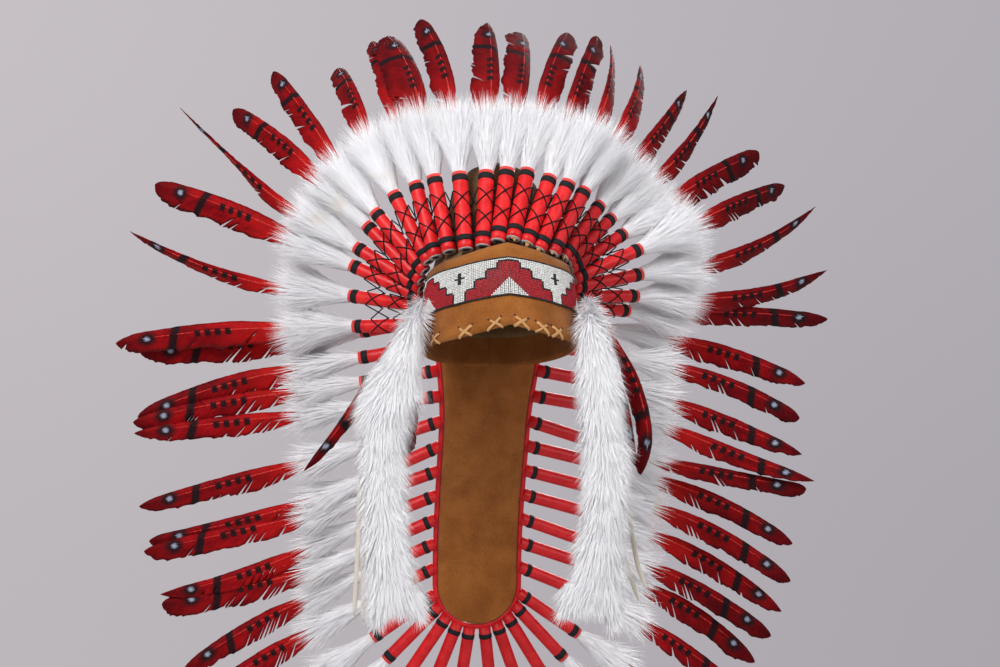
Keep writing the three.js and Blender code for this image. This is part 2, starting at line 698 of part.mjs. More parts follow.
// A tie: two flat thongs that leave one knot at the band's lower edge.
function makeTie(name, routes) {
  const section = new THREE.Shape(Array.from({ length: TIE.sides }, (_, k) => {
    const angle = (2 * Math.PI * k) / TIE.sides;
    return new THREE.Vector2((TIE.thickness / 2) * Math.cos(angle), (TIE.width / 2) * Math.sin(angle));
  }));
  const tails = routes.map((points) => {
    const curve = curveThrough(points);
    const steps = Math.round(curve.getLength() / TIE.step);
    return new THREE.ExtrudeGeometry(section, { steps, extrudePath: curve });
  });
  const knot = new THREE.SphereGeometry(TIE.knotRadius, 6, 4);
  knot.translate(...routes[0][0]);
  return named(name, fuse([knot, ...tails]), MATERIALS.thong);
}

// ---------------------------------------------------------------- the headdress

const headdress = new THREE.Group();

const head = new THREE.Group();
head.rotation.x = HEAD.pitch;
head.add(...makeCapPanels(), makeBrowBand(), makeBeadStrip());

headdress.add(head);
headdress.add(makeCrown());
headdress.add(makeTrailerStrip());
headdress.add(makeTrailerPlumes('trailer_plumes_left', -1, TRAILER_LEFT));
headdress.add(makeTrailerPlumes('trailer_plumes_right', 1, TRAILER_RIGHT));
headdress.add(makeFurDrop('fur_drop_left', DROP_LEFT));
headdress.add(makeFurDrop('fur_drop_right', DROP_RIGHT));
headdress.add(makeDropFeathers('drop_feathers_left', DROP_FEATHERS_LEFT));
headdress.add(makeDropFeathers('drop_feathers_right', DROP_FEATHERS_RIGHT));
headdress.add(makeTie('tie_left', TIE_LEFT));
headdress.add(makeTie('tie_right', TIE_RIGHT));

export default headdress;
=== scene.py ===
"""The looks of a feathered headdress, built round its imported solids.

The pieces are worked out in millimetres, in the frame of the solids: +Z up, -Y to the front and
+X to the right as seen from the front. new_piece() turns them into metres.
"""

import json
import math
import random

import bmesh
import bpy
from mathutils import Matrix, Vector, noise

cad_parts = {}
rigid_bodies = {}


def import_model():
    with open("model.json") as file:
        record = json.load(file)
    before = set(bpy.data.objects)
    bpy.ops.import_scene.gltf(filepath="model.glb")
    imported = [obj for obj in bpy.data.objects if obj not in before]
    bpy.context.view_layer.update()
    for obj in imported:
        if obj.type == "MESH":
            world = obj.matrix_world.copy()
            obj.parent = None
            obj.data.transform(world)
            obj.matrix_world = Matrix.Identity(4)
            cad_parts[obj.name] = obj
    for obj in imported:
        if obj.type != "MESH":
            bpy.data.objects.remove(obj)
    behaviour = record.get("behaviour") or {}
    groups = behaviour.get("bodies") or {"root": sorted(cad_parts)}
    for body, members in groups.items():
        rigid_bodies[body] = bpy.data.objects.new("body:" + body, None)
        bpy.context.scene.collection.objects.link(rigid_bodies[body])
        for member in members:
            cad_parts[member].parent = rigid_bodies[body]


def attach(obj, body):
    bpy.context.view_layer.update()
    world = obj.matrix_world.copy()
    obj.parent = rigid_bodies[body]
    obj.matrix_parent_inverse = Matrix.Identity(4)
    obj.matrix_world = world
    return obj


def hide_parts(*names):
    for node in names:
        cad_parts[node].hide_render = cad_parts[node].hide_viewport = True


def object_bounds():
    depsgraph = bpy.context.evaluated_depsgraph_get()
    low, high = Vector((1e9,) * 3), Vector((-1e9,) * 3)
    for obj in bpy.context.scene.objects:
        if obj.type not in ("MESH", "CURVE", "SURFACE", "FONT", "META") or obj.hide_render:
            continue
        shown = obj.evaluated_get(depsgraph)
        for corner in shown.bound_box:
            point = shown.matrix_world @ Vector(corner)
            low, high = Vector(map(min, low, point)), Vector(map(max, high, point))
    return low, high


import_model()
cad_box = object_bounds()
scene = bpy.context.scene

MM = 0.001

# ---------------------------------------------------------------- sizes and tables, in millimetres


def table(columns, rows):
    """Rows of numbers as dictionaries with named columns."""
    return [dict(zip(columns.split(), row)) for row in rows]


# The head's oval, which tips down at the back.
HALF_WIDTH, HALF_DEPTH = 85, 97  # of the band at its lower rim
SQUARENESS = 2.3  # 2 is an ellipse
TAPER = 0.09  # how far the band's wall leans in for each step up
PITCH = math.radians(-14)
BAND_SIDE, BAND_BACK = 75, 48  # height of the band's upper edge
BAND_CREST, CREST_REACH = 11.5, 55  # what the crest adds, and where it has died out
STRIP_SIDE, STRIP_CREST = 67.5, 7  # the same for the bead strip's upper edge
STRIP_HEIGHT = 43.2

CAP_SECTIONS = table("height half_width front back", (
    (30, 79.2, 91.2, 91.2),
    (72, 75.4, 87.4, 87.4),
    (92, 68.0, 67.0, 84.0),
    (130, 59.0, 56.0, 74.0),
    (176, 45.0, 42.5, 44.0),
    (194, 31.0, 31.0, 22.0),
    (202, 14.0, 17.0, 5.0),
))

SHEATH_LENGTH = 90
SHEATH_DEPTH = 12.8
TUFT_CORE = 62  # of a plume's fluff, under its strands

# The crown, from the wearer's right temple to the left. x, y, z: lower end of the sheath.
# fan: degrees from upright. back: lean to the rear. turn, bend: change of both up to the tip.
# point: how pointed the tip is. wide_side: the side of the wide vane, -1 or 1.
CROWN = table("x y z fan back turn bend length tube wide twist point wide_side", (
    (-69, 70, 24, -92, 24, -4, -24, 272, 13, 30, 8, 0.5, -1),
    (-78.5, 50, 43, -81, 30, 15, -32, 266, 13, 20, 30, 1.4, -1),
    (-81, 36, 52, -64, 22, -5, 8, 262, 13, 30, 5, 0.2, -1),
    (-83, 24, 62, -56, 24, 11, -12, 262, 13, 22, 48, 1.6, -1),
    (-84, 11, 70.5, -43, 22, -6, 35, 262, 13, 26, 10, 0.3, -1),
    (-81, 0, 80, -38, 22, 13, 35, 262, 13, 26, 12, 0.6, -1),
    (-78, -12, 90, -25, 23, 17, 53, 262, 13.4, 26, 15, 0.5, -1),
    (-71.6, -24, 94.5, -13, 23, 5, 48, 270, 14, 22, 12, 0.5, -1),
    (-58.5, -36, 100, -9, 23, -7, 44, 255, 14.6, 38, -4, 0.1, -1),
    (-42.2, -49, 102, -2, 24, -14, 37, 262, 15, 27, 10, 0.4, -1),
    (-25, -56, 105, 6, 26, 2, 36, 262, 15, 32, 0, 0.8, -1),
    (-9.2, -57, 110.5, 11, 28, 6, 38, 262, 15, 30, -6, 0.1, -1),
    (6.9, -57, 113, 16, 30, 14, 28, 262, 14.6, 27, 8, 0.2, 1),
    (21.4, -55, 108, 23, 28, 4, 26, 254, 14.6, 26, -10, 0.1, 1),
    (35, -50, 102, 27, 23, -7, 44, 276, 14.6, 20, -24, 1.3, 1),
    (51, -41, 98, 30, 25, 2, 39, 262, 14.4, 24, -14, 1.1, 1),
    (64, -28, 94.5, 39, 32, 7, 19, 262, 13.4, 25, -16, 0.95, 1),
    (70.6, -14, 89.5, 48, 32, -6, 6, 262, 12.8, 24, -20, 1.5, 1),
    (75, 0, 83, 59, 29, 5, 12, 262, 12.8, 30, -6, 0.2, 1),
    (81.5, 12, 73, 67, 18, 2, 32, 262, 13, 27, -8, 0.6, 1),
    (83, 27, 63.5, 79, 22, -18, 2, 262, 13, 24, -22, 1.4, 1),
    (82, 42, 54, 89, 25, -13, -9, 262, 13, 24, -14, 1.2, 1),
    (79, 55, 42, 92, 30, 0, -29, 262, 13, 24, -8, 0.6, 1),
))

# Open tears in the wide vane of some crown plumes: plume number, distance from the tip along the
# shaft, how near the shaft the tear reaches (0 is at the shaft) and how far it gapes at the edge.
TEARS = table("plume from_tip depth gap", (
    (1, 14, 0.3, 4), (1, 96, 0.5, 2), (2, 30, 0.5, 3), (2, 118, 0.5, 4), (2, 140, 0.3, 4),
    (3, 120, 0.45, 4), (3, 52, 0.6, 2), (4, 110, 0.4, 4), (4, 140, 0.5, 4), (5, 118, 0.6, 3),
    (6, 100, 0.6, 3), (7, 124, 0.1, 9), (7, 70, 0.7, 3), (8, 58, 0.5, 4), (9, 40, 0.75, 3),
    (10, 104, 0.6, 3), (11, 120, 0.7, 3), (13, 66, 0.45, 7), (14, 66, 0.25, 12), (14, 122, 0.5, 4),
    (15, 40, 0.4, 6), (15, 88, 0.3, 8), (15, 120, 0.5, 4), (16, 34, 0.5, 6), (16, 84, 0.45, 7),
    (16, 60, 0.6, 3), (17, 108, 0.35, 4), (17, 122, 0.35, 5), (17, 140, 0.3, 4), (18, 84, 0.5, 3),
    (18, 122, 0.3, 5), (18, 140, 0.3, 4), (19, 92, 0.3, 8), (19, 130, 0.3, 7), (19, 24, 0.5, 6),
    (20, 76, 0.5, 3), (20, 132, 0.4, 4), (21, 92, 0.5, 3), (22, 60, 0.5, 4), (22, 82, 0.5, 3),
    (23, 50, 0.5, 3), (23, 118, 0.4, 4),
))

TRAILER = {
    "top": 46, "arc_centre": -280, "top_half_width": 54, "half_width": 46,
    "narrow_from": 10, "narrow_to": -90, "back_at_cap": 104, "back_at_end": 221, "leave_cap": 20,
    "reach_back": -270, "seat": 4, "first_row": 30, "row_spacing": 29, "straight_rows": 11,
    "arc_first": 12, "arc_spacing": 17, "tube": 12.8,
}

PLUME_COLUMNS = "slope turn back bend length wide point"
TRAILER_LEFT = table(PLUME_COLUMNS, (
    (10, -9, 20, -14, 256, 28, 0.6), (10, 10, 15, -12, 260, 30, 0.4),
    (9, 2, 13, -12, 260, 24, 0.5), (8, -3, 10, -12, 257, 24, 0.8),
    (18, -6, 10, -12, 265, 24, 0.7), (25, -18, 12, -12, 262, 22, 0.4),
    (20, -13, 8, -12, 259, 27, 0.5), (22, -6, 10, -12, 249, 24, 1.0),
    (24, -19, 8, -12, 243, 30, 0.2), (24, 8, 10, -12, 240, 26, 0.6),
    (28, 4, 9, -12, 238, 26, 0.5), (36, 3, 10, -12, 244, 24, 0.8),
    (46, 5, 8, -12, 248, 26, 0.4), (57, 2, 10, -12, 244, 25, 0.6),
    (69, 4, 8, -12, 250, 27, 0.3), (82, 1, 10, -12, 246, 25, 0.7),
))
TRAILER_RIGHT = table(PLUME_COLUMNS, (
    (8, 13, 20, -14, 260, 26, 0.7), (8, 20, 15, -12, 245, 22, 0.3),
    (11, 17, 13, -12, 250, 23, 0.9), (10, 18, 10, -12, 265, 22, 1.2),
    (18, -11, 10, -12, 255, 20, 0.2), (14, 17, 12, -12, 260, 24, 0.6),
    (15, 21, 8, -12, 260, 24, 0.5), (16, 23, 10, -12, 262, 25, 0.8),
    (20, 15, 8, -12, 248, 24, 0.4), (19, 23, 10, -12, 240, 26, 0.6),
    (23, 19, 9, -12, 238, 24, 0.9), (35, 9, 10, -12, 246, 25, 0.5),
    (47, 6, 8, -12, 244, 24, 0.7), (58, 4, 10, -12, 250, 26, 0.4),
    (70, 2, 8, -12, 245, 25, 0.8), (83, 1, 10, -12, 250, 26, 0.5),
))

DROP_COLUMNS = "z x y half_width half_depth"
DROPS = {
    "left": {
        "rows": table(DROP_COLUMNS, (
            (50, -88, -38, 6, 5), (36, -94, -48, 13, 9), (8, -105, -60, 22, 14),
            (-46, -123, -78, 35, 18), (-80, -132, -86, 27, 17), (-110, -133, -91, 26, 17),
            (-160, -132, -95, 25, 17), (-221, -128, -98, 27, 17), (-262, -123, -98, 28, 15))),
        "tips": table("x z root_x", ((-137, -295, -134), (-97, -289, -108))),
    },
    "right": {
        "rows": table(DROP_COLUMNS, (
            (50, 88, -42, 6, 5), (40, 89, -54, 13, 9), (22, 88, -69, 20, 12),
            (-22, 93, -77, 26, 15), (-65, 96, -83, 26, 17), (-110, 100, -91, 28, 17),
            (-174, 97, -96, 26, 17), (-240, 90, -98, 31, 17), (-262, 85, -98, 31, 15))),
        "tips": table("x z root_x", ((57, -289, 68), (104, -301, 101))),
    },
}

DROP_FEATHERS = {
    "left": (
        {"points": ((-92, -12, 40), (-112, -24, 18), (-150, -32, -38), (-212, -34, -131)),
         "wide": 15, "point": 1.2},
        {"points": ((-93, -18, 26), (-97, -30, -20), (-103, -42, -70), (-106, -48, -114)),
         "wide": 20, "point": 0.3},
    ),
    "right": (
        {"points": ((93, -12, 40), (113, -24, 17), (138, -34, -35), (152, -40, -95),
                    (146, -40, -137)), "wide": 18, "point": 0.5},
        {"points": ((93, -18, 26), (108, -36, -16), (128, -48, -60), (139, -52, -128)),
         "wide": 15, "point": 0.9},
    ),
}

TIE_WIDTH, TIE_THICKNESS, TIE_KNOT = 5, 1.6, 5
TIES = {
    "left": (
        ((-92, -2, 8), (-96, -10, -10), (-112, -34, -45), (-138, -56, -90), (-153, -66, -130),
         (-157, -70, -205), (-161, -70, -279)),
        ((-92, -2, 8), (-94, -8, -12), (-106, -30, -52), (-128, -54, -110), (-144, -66, -160),
         (-151, -72, -210), (-152, -72, -285)),
    ),
    "right": (
        ((90, -2, 8), (92, -10, -12), (100, -36, -52), (112, -58, -100), (120, -68, -134),
         (128, -70, -178), (137, -70, -228), (147, -70, -256)),
        ((90, -2, 8), (91, -8, -14), (95, -32, -60), (102, -56, -116), (112, -68, -170),
         (123, -72, -221), (138, -72, -268)),
    ),
}

# ---------------------------------------------------------------- camera

CAMERA_DISTANCE, CAMERA_HEIGHT = 2.5, 0.0134  # in metres
CAMERA_YAW = math.radians(7)
CAMERA_LENS, CAMERA_SENSOR = 83.72, 36


def add_object(name, data):
    made = bpy.data.objects.new(name, data)
    scene.collection.objects.link(made)
    return made


def make_camera():
    data = bpy.data.cameras.new("camera")
    data.lens = CAMERA_LENS
    data.sensor_width = CAMERA_SENSOR
    camera = add_object("camera", data)
    camera.location = (
        -CAMERA_DISTANCE * math.sin(CAMERA_YAW),
        -CAMERA_DISTANCE * math.cos(CAMERA_YAW),
        CAMERA_HEIGHT,
    )
    camera.rotation_euler = (math.pi / 2, 0, -CAMERA_YAW)
    scene.camera = camera


# ---------------------------------------------------------------- general shapes

def lerp(a, b, share):
    return a + (b - a) * share


def clamp(value, low=0.0, high=1.0):
    return max(low, min(high, value))


def smooth(low, high, value):
    share = clamp((value - low) / (high - low))
    return share * share * (3 - 2 * share)


def wave(place, seed, scale):
    """Smooth noise from -1 to 1 along a line."""
    return noise.noise(Vector((place / scale, seed * 7.31, 0.5)))


def mapped_grid(bm, columns, rows, place, keep=None, mark=None):
    """A grid of faces whose points go to place(u, v), u and v from 0 to 1. keep(u, v) says of
    the middle of a face whether it stays, and mark(vert, u, v) sets the attributes of a point."""
    made = bmesh.ops.create_grid(bm, x_segments=columns, y_segments=rows, size=0.5)["verts"]
    if keep:
        faces = {face for vert in made for face in vert.link_faces}
        middles = [(face, face.calc_center_median()) for face in faces]
        gone = [face for face, at in middles if not keep(at.x + 0.5, at.y + 0.5)]
        bmesh.ops.delete(bm, geom=gone, context="FACES")
        made = [vert for vert in made if vert.is_valid]
    for vert in made:
        u, v = vert.co.x + 0.5, vert.co.y + 0.5
        if mark:
            mark(vert, u, v)
        vert.co = place(u, v)
    return made


def tube(bm, around, along, place):
    """A grid rolled round into a tube, with its ends filled."""
    made = mapped_grid(bm, around, along, place)
    bmesh.ops.remove_doubles(bm, verts=made, dist=1e-4)
    made = [vert for vert in made if vert.is_valid]
    rims = {edge for vert in made for edge in vert.link_edges if edge.is_boundary}
    bmesh.ops.holes_fill(bm, edges=list(rims), sides=around)
    return made


def oval(station, half_width, half_depth, turn):
    """A point on an oval round a station. turn runs from 0 to 1."""
    angle = 2 * math.pi * turn
    return (station["point"] + station["across"] * (half_width * math.cos(angle))
            + station["face"] * (half_depth * math.sin(angle)))


def finished_mesh(name, bm):
    mesh = bpy.data.meshes.new(name)
    bm.to_mesh(mesh)
    bm.free()
    return mesh


def new_piece(name, bm, slot, materials, replaces=()):
    """Turns a finished bmesh in millimetres into a piece in metres that rides on the body."""
    bmesh.ops.recalc_face_normals(bm, faces=bm.faces)
    bmesh.ops.transform(bm, matrix=Matrix.Scale(MM, 4), verts=bm.verts)
    mesh = finished_mesh(name, bm)
    for material in materials:
        mesh.materials.append(material)
    mesh.shade_smooth()
    piece = add_object(name, mesh)
    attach(piece, "root")
    if replaces:
        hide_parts(*replaces)
    return piece


def apply_modifiers(piece):
    """Keeps the shape that the modifiers give and takes them off."""
    graph = bpy.context.evaluated_depsgraph_get()
    shaped = bpy.data.meshes.new_from_object(piece.evaluated_get(graph))
    old = piece.data
    piece.modifiers.clear()
    piece.data = shaped
    shaped.name = piece.name
    bpy.data.meshes.remove(old)


# ---------------------------------------------------------------- lines that pieces follow

def heading(fan, back):
    fan, back = math.radians(fan), math.radians(back)
    return Vector((math.sin(fan) * math.cos(back), math.sin(back),
                   math.cos(fan) * math.cos(back)))


def plume_line(row):
    """A plume's line: straight in its sheath, then a curve. Gives the station at a distance
    from the sheath's outer end."""
    steps = 40
    start = heading(row["fan"], row["back"])
    top = Vector((row["x"], row["y"], row["z"])) + start * SHEATH_LENGTH
    points = [top]
    for step in range(steps):
        share = (step + 0.5) / steps
        ahead = heading(row["fan"] + row["turn"] * share, row["back"] + row["bend"] * share)
        points.append(points[-1] + ahead * (row["length"] / steps))

    def station(along, twist=0.0):
        share = clamp(along / row["length"])
        fan = row["fan"] + row["turn"] * share
        ahead = heading(fan, row["back"] + row["bend"] * share)
        across = Vector((math.cos(math.radians(fan)), 0, -math.sin(math.radians(fan))))
        turned = Matrix.Rotation(-math.radians(twist), 3, ahead)
        step = min(int(share * steps), steps - 1)
        if along <= 0:
            point = top + start * along
        else:
            point = points[step].lerp(points[step + 1], share * steps - step)
            point = point + ahead * max(0.0, along - row["length"])
        return {"point": point, "ahead": ahead, "across": turned @ across,
                "face": turned @ across.cross(ahead)}

    return station


def smooth_route(points, count):
    """Evenly spaced points on a smooth curve through the given ones."""
    points = [Vector(point) for point in points]
    padded = [2 * points[0] - points[1], *points, 2 * points[-1] - points[-2]]
    fine = []
    for a, b, c, d in zip(padded, padded[1:], padded[2:], padded[3:]):
        for step in range(16):
            t = step / 16
            fine.append(0.5 * (2 * b + (c - a) * t + (2 * a - 5 * b + 4 * c - d) * t ** 2
                               + (3 * b - a - 3 * c + d) * t ** 3))
    fine.append(points[-1])
    lengths = [0.0]
    for a, b in zip(fine, fine[1:]):
        lengths.append(lengths[-1] + (b - a).length)
    spaced, i = [], 0
    for k in range(count):
        goal = lengths[-1] * k / (count - 1)
        while i < len(fine) - 2 and lengths[i + 1] < goal:
            i += 1
        share = (goal - lengths[i]) / max(lengths[i + 1] - lengths[i], 1e-9)
        spaced.append(fine[i].lerp(fine[i + 1], clamp(share)))
    return spaced


def route_line(points, facing, count=60):
    """A line through points, with the same stations as a plume's. facing is the way its face
    looks."""
    spaced = smooth_route(points, count)
    length = sum((b - a).length for a, b in zip(spaced, spaced[1:]))

    def station(along, twist=0.0):
        place = clamp(along / length) * (count - 1)
        i = min(int(place), count - 2)
        ahead = (spaced[i + 1] - spaced[i]).normalized()
        face = (facing - ahead * facing.dot(ahead)).normalized()
        turned = Matrix.Rotation(-math.radians(twist), 3, ahead)
        point = spaced[i].lerp(spaced[i + 1], place - i) + ahead * max(0.0, along - length)
        return {"point": point, "ahead": ahead, "across": turned @ ahead.cross(face),
                "face": turned @ face}

    return station, length


FRONT = Vector((0, -1, 0))

# ---------------------------------------------------------------- the head's oval

TO_HEAD = Matrix.Rotation(PITCH, 3, "X")


def signed_power(value):
    return math.copysign(abs(value) ** (2 / SQUARENESS), value)


def oval_point(angle, half_width, front, back, height):
    """A point of the head's oval, in the pitched frame. The angle is 0 at the front."""
    depth = front if math.cos(angle) > 0 else back
    return Vector((half_width * signed_power(math.sin(angle)),
                   -depth * signed_power(math.cos(angle)), height))


def wall_point(angle, height, out):
    """A point on the leaning wall of the band, some way out from its outer face, as it sits."""
    grow = out - TAPER * height
    depth = HALF_DEPTH + grow
    return TO_HEAD @ oval_point(angle, HALF_WIDTH + grow, depth, depth, height)


def crest(angle):
    x = HALF_WIDTH * abs(signed_power(math.sin(angle)))
    return max(0.0, 1 - x / CREST_REACH) if math.cos(angle) > 0 else 0.0


def band_top(angle):
    return (BAND_SIDE + BAND_CREST * crest(angle)
            - (BAND_SIDE - BAND_BACK) * min(0.0, math.cos(angle)) ** 2)


def band_hem(angle):
    if math.cos(angle) <= 0:
        return 0.0
    rise = HALF_DEPTH * math.sin(-PITCH)
    level = rise * (1 - abs(signed_power(math.sin(angle))))
    return (level - rise * signed_power(math.cos(angle))) / math.cos(PITCH)


def arc_angles(height, reach, step):
    """Angles at even steps of arc to both sides of the middle of the forehead."""
    fine = 0.002
    angle, length = 0.0, 0.0
    here = wall_point(0, height, 0)
    found = [0.0]
    while length < reach:
        ahead = wall_point(angle + fine, height, 0)
        length += (ahead - here).length
        here = ahead
        angle += fine
        if length >= step * len(found):
            found.append(angle)
    return [-a for a in reversed(found[1:])] + found


# ---------------------------------------------------------------- node helpers

def put(tree, kind, inputs=None, **settings):
    """Adds a node. inputs maps a socket's name or number to a value or to another socket."""
    made = tree.nodes.new(kind)
    for key, value in settings.items():
        setattr(made, key, value)
    for key, value in (inputs or {}).items():
        if isinstance(value, bpy.types.NodeSocket):
            tree.links.new(value, made.inputs[key])
        else:
            made.inputs[key].default_value = value
    return made


def calc(tree, operation, a, b=0.0):
    return put(tree, "ShaderNodeMath", {0: a, 1: b}, operation=operation).outputs[0]


def blend(tree, factor, a, b):
    """Mixes two colours. Each is a socket or its red, green and blue."""
    a, b = (tone if isinstance(tone, bpy.types.NodeSocket) else (*tone, 1) for tone in (a, b))
    made = put(tree, "ShaderNodeMix", {0: factor, 6: a, 7: b}, data_type="RGBA")
    return made.outputs[2]


def ramp(tree, value, low, high, to_low=0.0, to_high=1.0):
    """The value, stretched smoothly from one range to another."""
    made = put(tree, "ShaderNodeMapRange", {0: value, 1: low, 2: high, 3: to_low, 4: to_high},
               interpolation_type="SMOOTHSTEP")
    return made.outputs[0]


def fine_noise(tree, vector, scale, detail):
    return put(tree, "ShaderNodeTexNoise",
               {"Vector": vector, "Scale": scale, "Detail": detail}).outputs["Fac"]


def object_place(tree):
    return put(tree, "ShaderNodeTexCoord").outputs["Object"]


def attribute(tree, name, output="Vector"):
    return put(tree, "ShaderNodeAttribute", attribute_name=name).outputs[output]


def new_material(name):
    material = bpy.data.materials.new(name)
    material.use_nodes = True
    tree = material.node_tree
    shader = tree.nodes["Principled BSDF"]
    return material, tree, shader


def finish_shader(tree, shader, colour, roughness, height=None, depth=1.0, reach=0.0002,
                  **fixed):
    """Links the varying sockets of a shader and sets the ones that stay the same."""
    tree.links.new(colour, shader.inputs["Base Color"])
    if isinstance(roughness, bpy.types.NodeSocket):
        tree.links.new(roughness, shader.inputs["Roughness"])
    else:
        shader.inputs["Roughness"].default_value = roughness
    if height is not None:
        bump = put(tree, "ShaderNodeBump", {"Strength": depth, "Distance": reach,
                                            "Height": height})
        tree.links.new(bump.outputs[0], shader.inputs["Normal"])
    for key, value in fixed.items():
        shader.inputs[key.replace("_", " ").title().replace("Ior", "IOR")].default_value = value


def make_nap_group():
    """Suede's nap: a mottled tone and a fine height."""
    tree = bpy.data.node_groups.new("suede nap", "ShaderNodeTree")
    for name, way, kind in (("Place", "INPUT", "Vector"), ("Mottle Scale", "INPUT", "Float"),
                            ("Nap Scale", "INPUT", "Float"), ("Tone", "OUTPUT", "Float"),
                            ("Height", "OUTPUT", "Float")):
        tree.interface.new_socket(name, in_out=way, socket_type=f"NodeSocket{kind}")
    given = put(tree, "NodeGroupInput").outputs
    mottle = fine_noise(tree, given["Place"], given["Mottle Scale"], 4.0)
    nap = fine_noise(tree, given["Place"], given["Nap Scale"], 3.0)
    tone = calc(tree, "ADD", calc(tree, "MULTIPLY", mottle, 0.45),
                calc(tree, "MULTIPLY", nap, 0.55))
    height = calc(tree, "ADD", calc(tree, "MULTIPLY", mottle, 0.4), nap)
    put(tree, "NodeGroupOutput", {"Tone": tone, "Height": height})
    return tree


# ---------------------------------------------------------------- materials

def suede_material(name, dark, light):
    material, tree, shader = new_material(name)
    worn = put(tree, "ShaderNodeGroup", node_tree=NAP)
    tree.links.new(object_place(tree), worn.inputs["Place"])
    worn.inputs["Mottle Scale"].default_value = 38.0
    worn.inputs["Nap Scale"].default_value = 1100.0
    colour = blend(tree, ramp(tree, worn.outputs["Tone"], 0.34, 0.66), dark, light)
    finish_shader(tree, shader, colour, 0.95, worn.outputs["Height"], 0.6, 0.0006,
                  sheen_weight=0.12, sheen_roughness=0.5, specular_ior_level=0.12)
    return material


def bead_material(name, dark, light):
    """Glossy glass beads, each of its own shade."""
    material, tree, shader = new_material(name)
    cell = put(tree, "ShaderNodeTexVoronoi", {"Vector": object_place(tree), "Scale": 420.0})
    shade = put(tree, "ShaderNodeSeparateColor", {0: cell.outputs["Color"]}).outputs[0]
    finish_shader(tree, shader, blend(tree, shade, dark, light), 0.3, specular_ior_level=0.45)
    return material


def cloth_material():
    """Satin red wrap: a painted highlight on the folded rim at the top, and a faint weave.
    Attribute 'along': the distance past the sheath's outer end, in millimetres, and how much
    darker the cloth is painted, as painted shade on the crown sheaths that are less lit."""
    material, tree, shader = new_material("red_wrap")
    along, dull_and_shade = put(tree, "ShaderNodeSeparateXYZ", {0: attribute(tree, "along")}).outputs[:2]
    place = object_place(tree)
    soft = fine_noise(tree, place, 90.0, 3.0)
    weave = fine_noise(tree, place, 2600.0, 1.0)
    body = blend(tree, ramp(tree, soft, 0.3, 0.7), (0.66, 0.008, 0.012), (0.85, 0.02, 0.022))
    # Painted shade: the body darkens with the second value of 'along', on the crown sheaths that
    # are less lit.
    body = blend(tree, dull_and_shade, body, (0.36, 0.006, 0.012))
    # Painted highlight: the folded rim, the last few millimetres at the top, is lighter where it
    # catches the light.
    colour = blend(tree, ramp(tree, along, -3.6, -3.0), body, (0.85, 0.06, 0.05))
    height = calc(tree, "ADD", calc(tree, "MULTIPLY", soft, 2.0),
                  calc(tree, "MULTIPLY", weave, 0.5))
    finish_shader(tree, shader, colour, ramp(tree, soft, 0.2, 0.8, 0.32, 0.5), height, 0.35,
                  0.0004, specular_ior_level=0.32)
    return material


def grained_material(name, dark, light, scale, roughness, detail=3.0, depth=0.4, **fixed):
    """A plain finish whose tone and height follow one fine grain."""
    material, tree, shader = new_material(name)
    grain = fine_noise(tree, object_place(tree), scale, detail)
    colour = blend(tree, grain, dark, light)
    finish_shader(tree, shader, colour, roughness, grain, depth, 0.0003, **fixed)
    return material


def thread_material(name, dark, light):
    return grained_material(name, dark, light, 1500.0, 0.7, 2.0, 0.5, specular_ior_level=0.2)


# Marks of a feather, in millimetres from its tip.
EYE_FROM_TIP, BAND_FROM_TIP, DOTS_FROM_TIP = 35.0, 66.0, 92.0
DOT_COUNT, DOT_SPACING = 4, 11.5


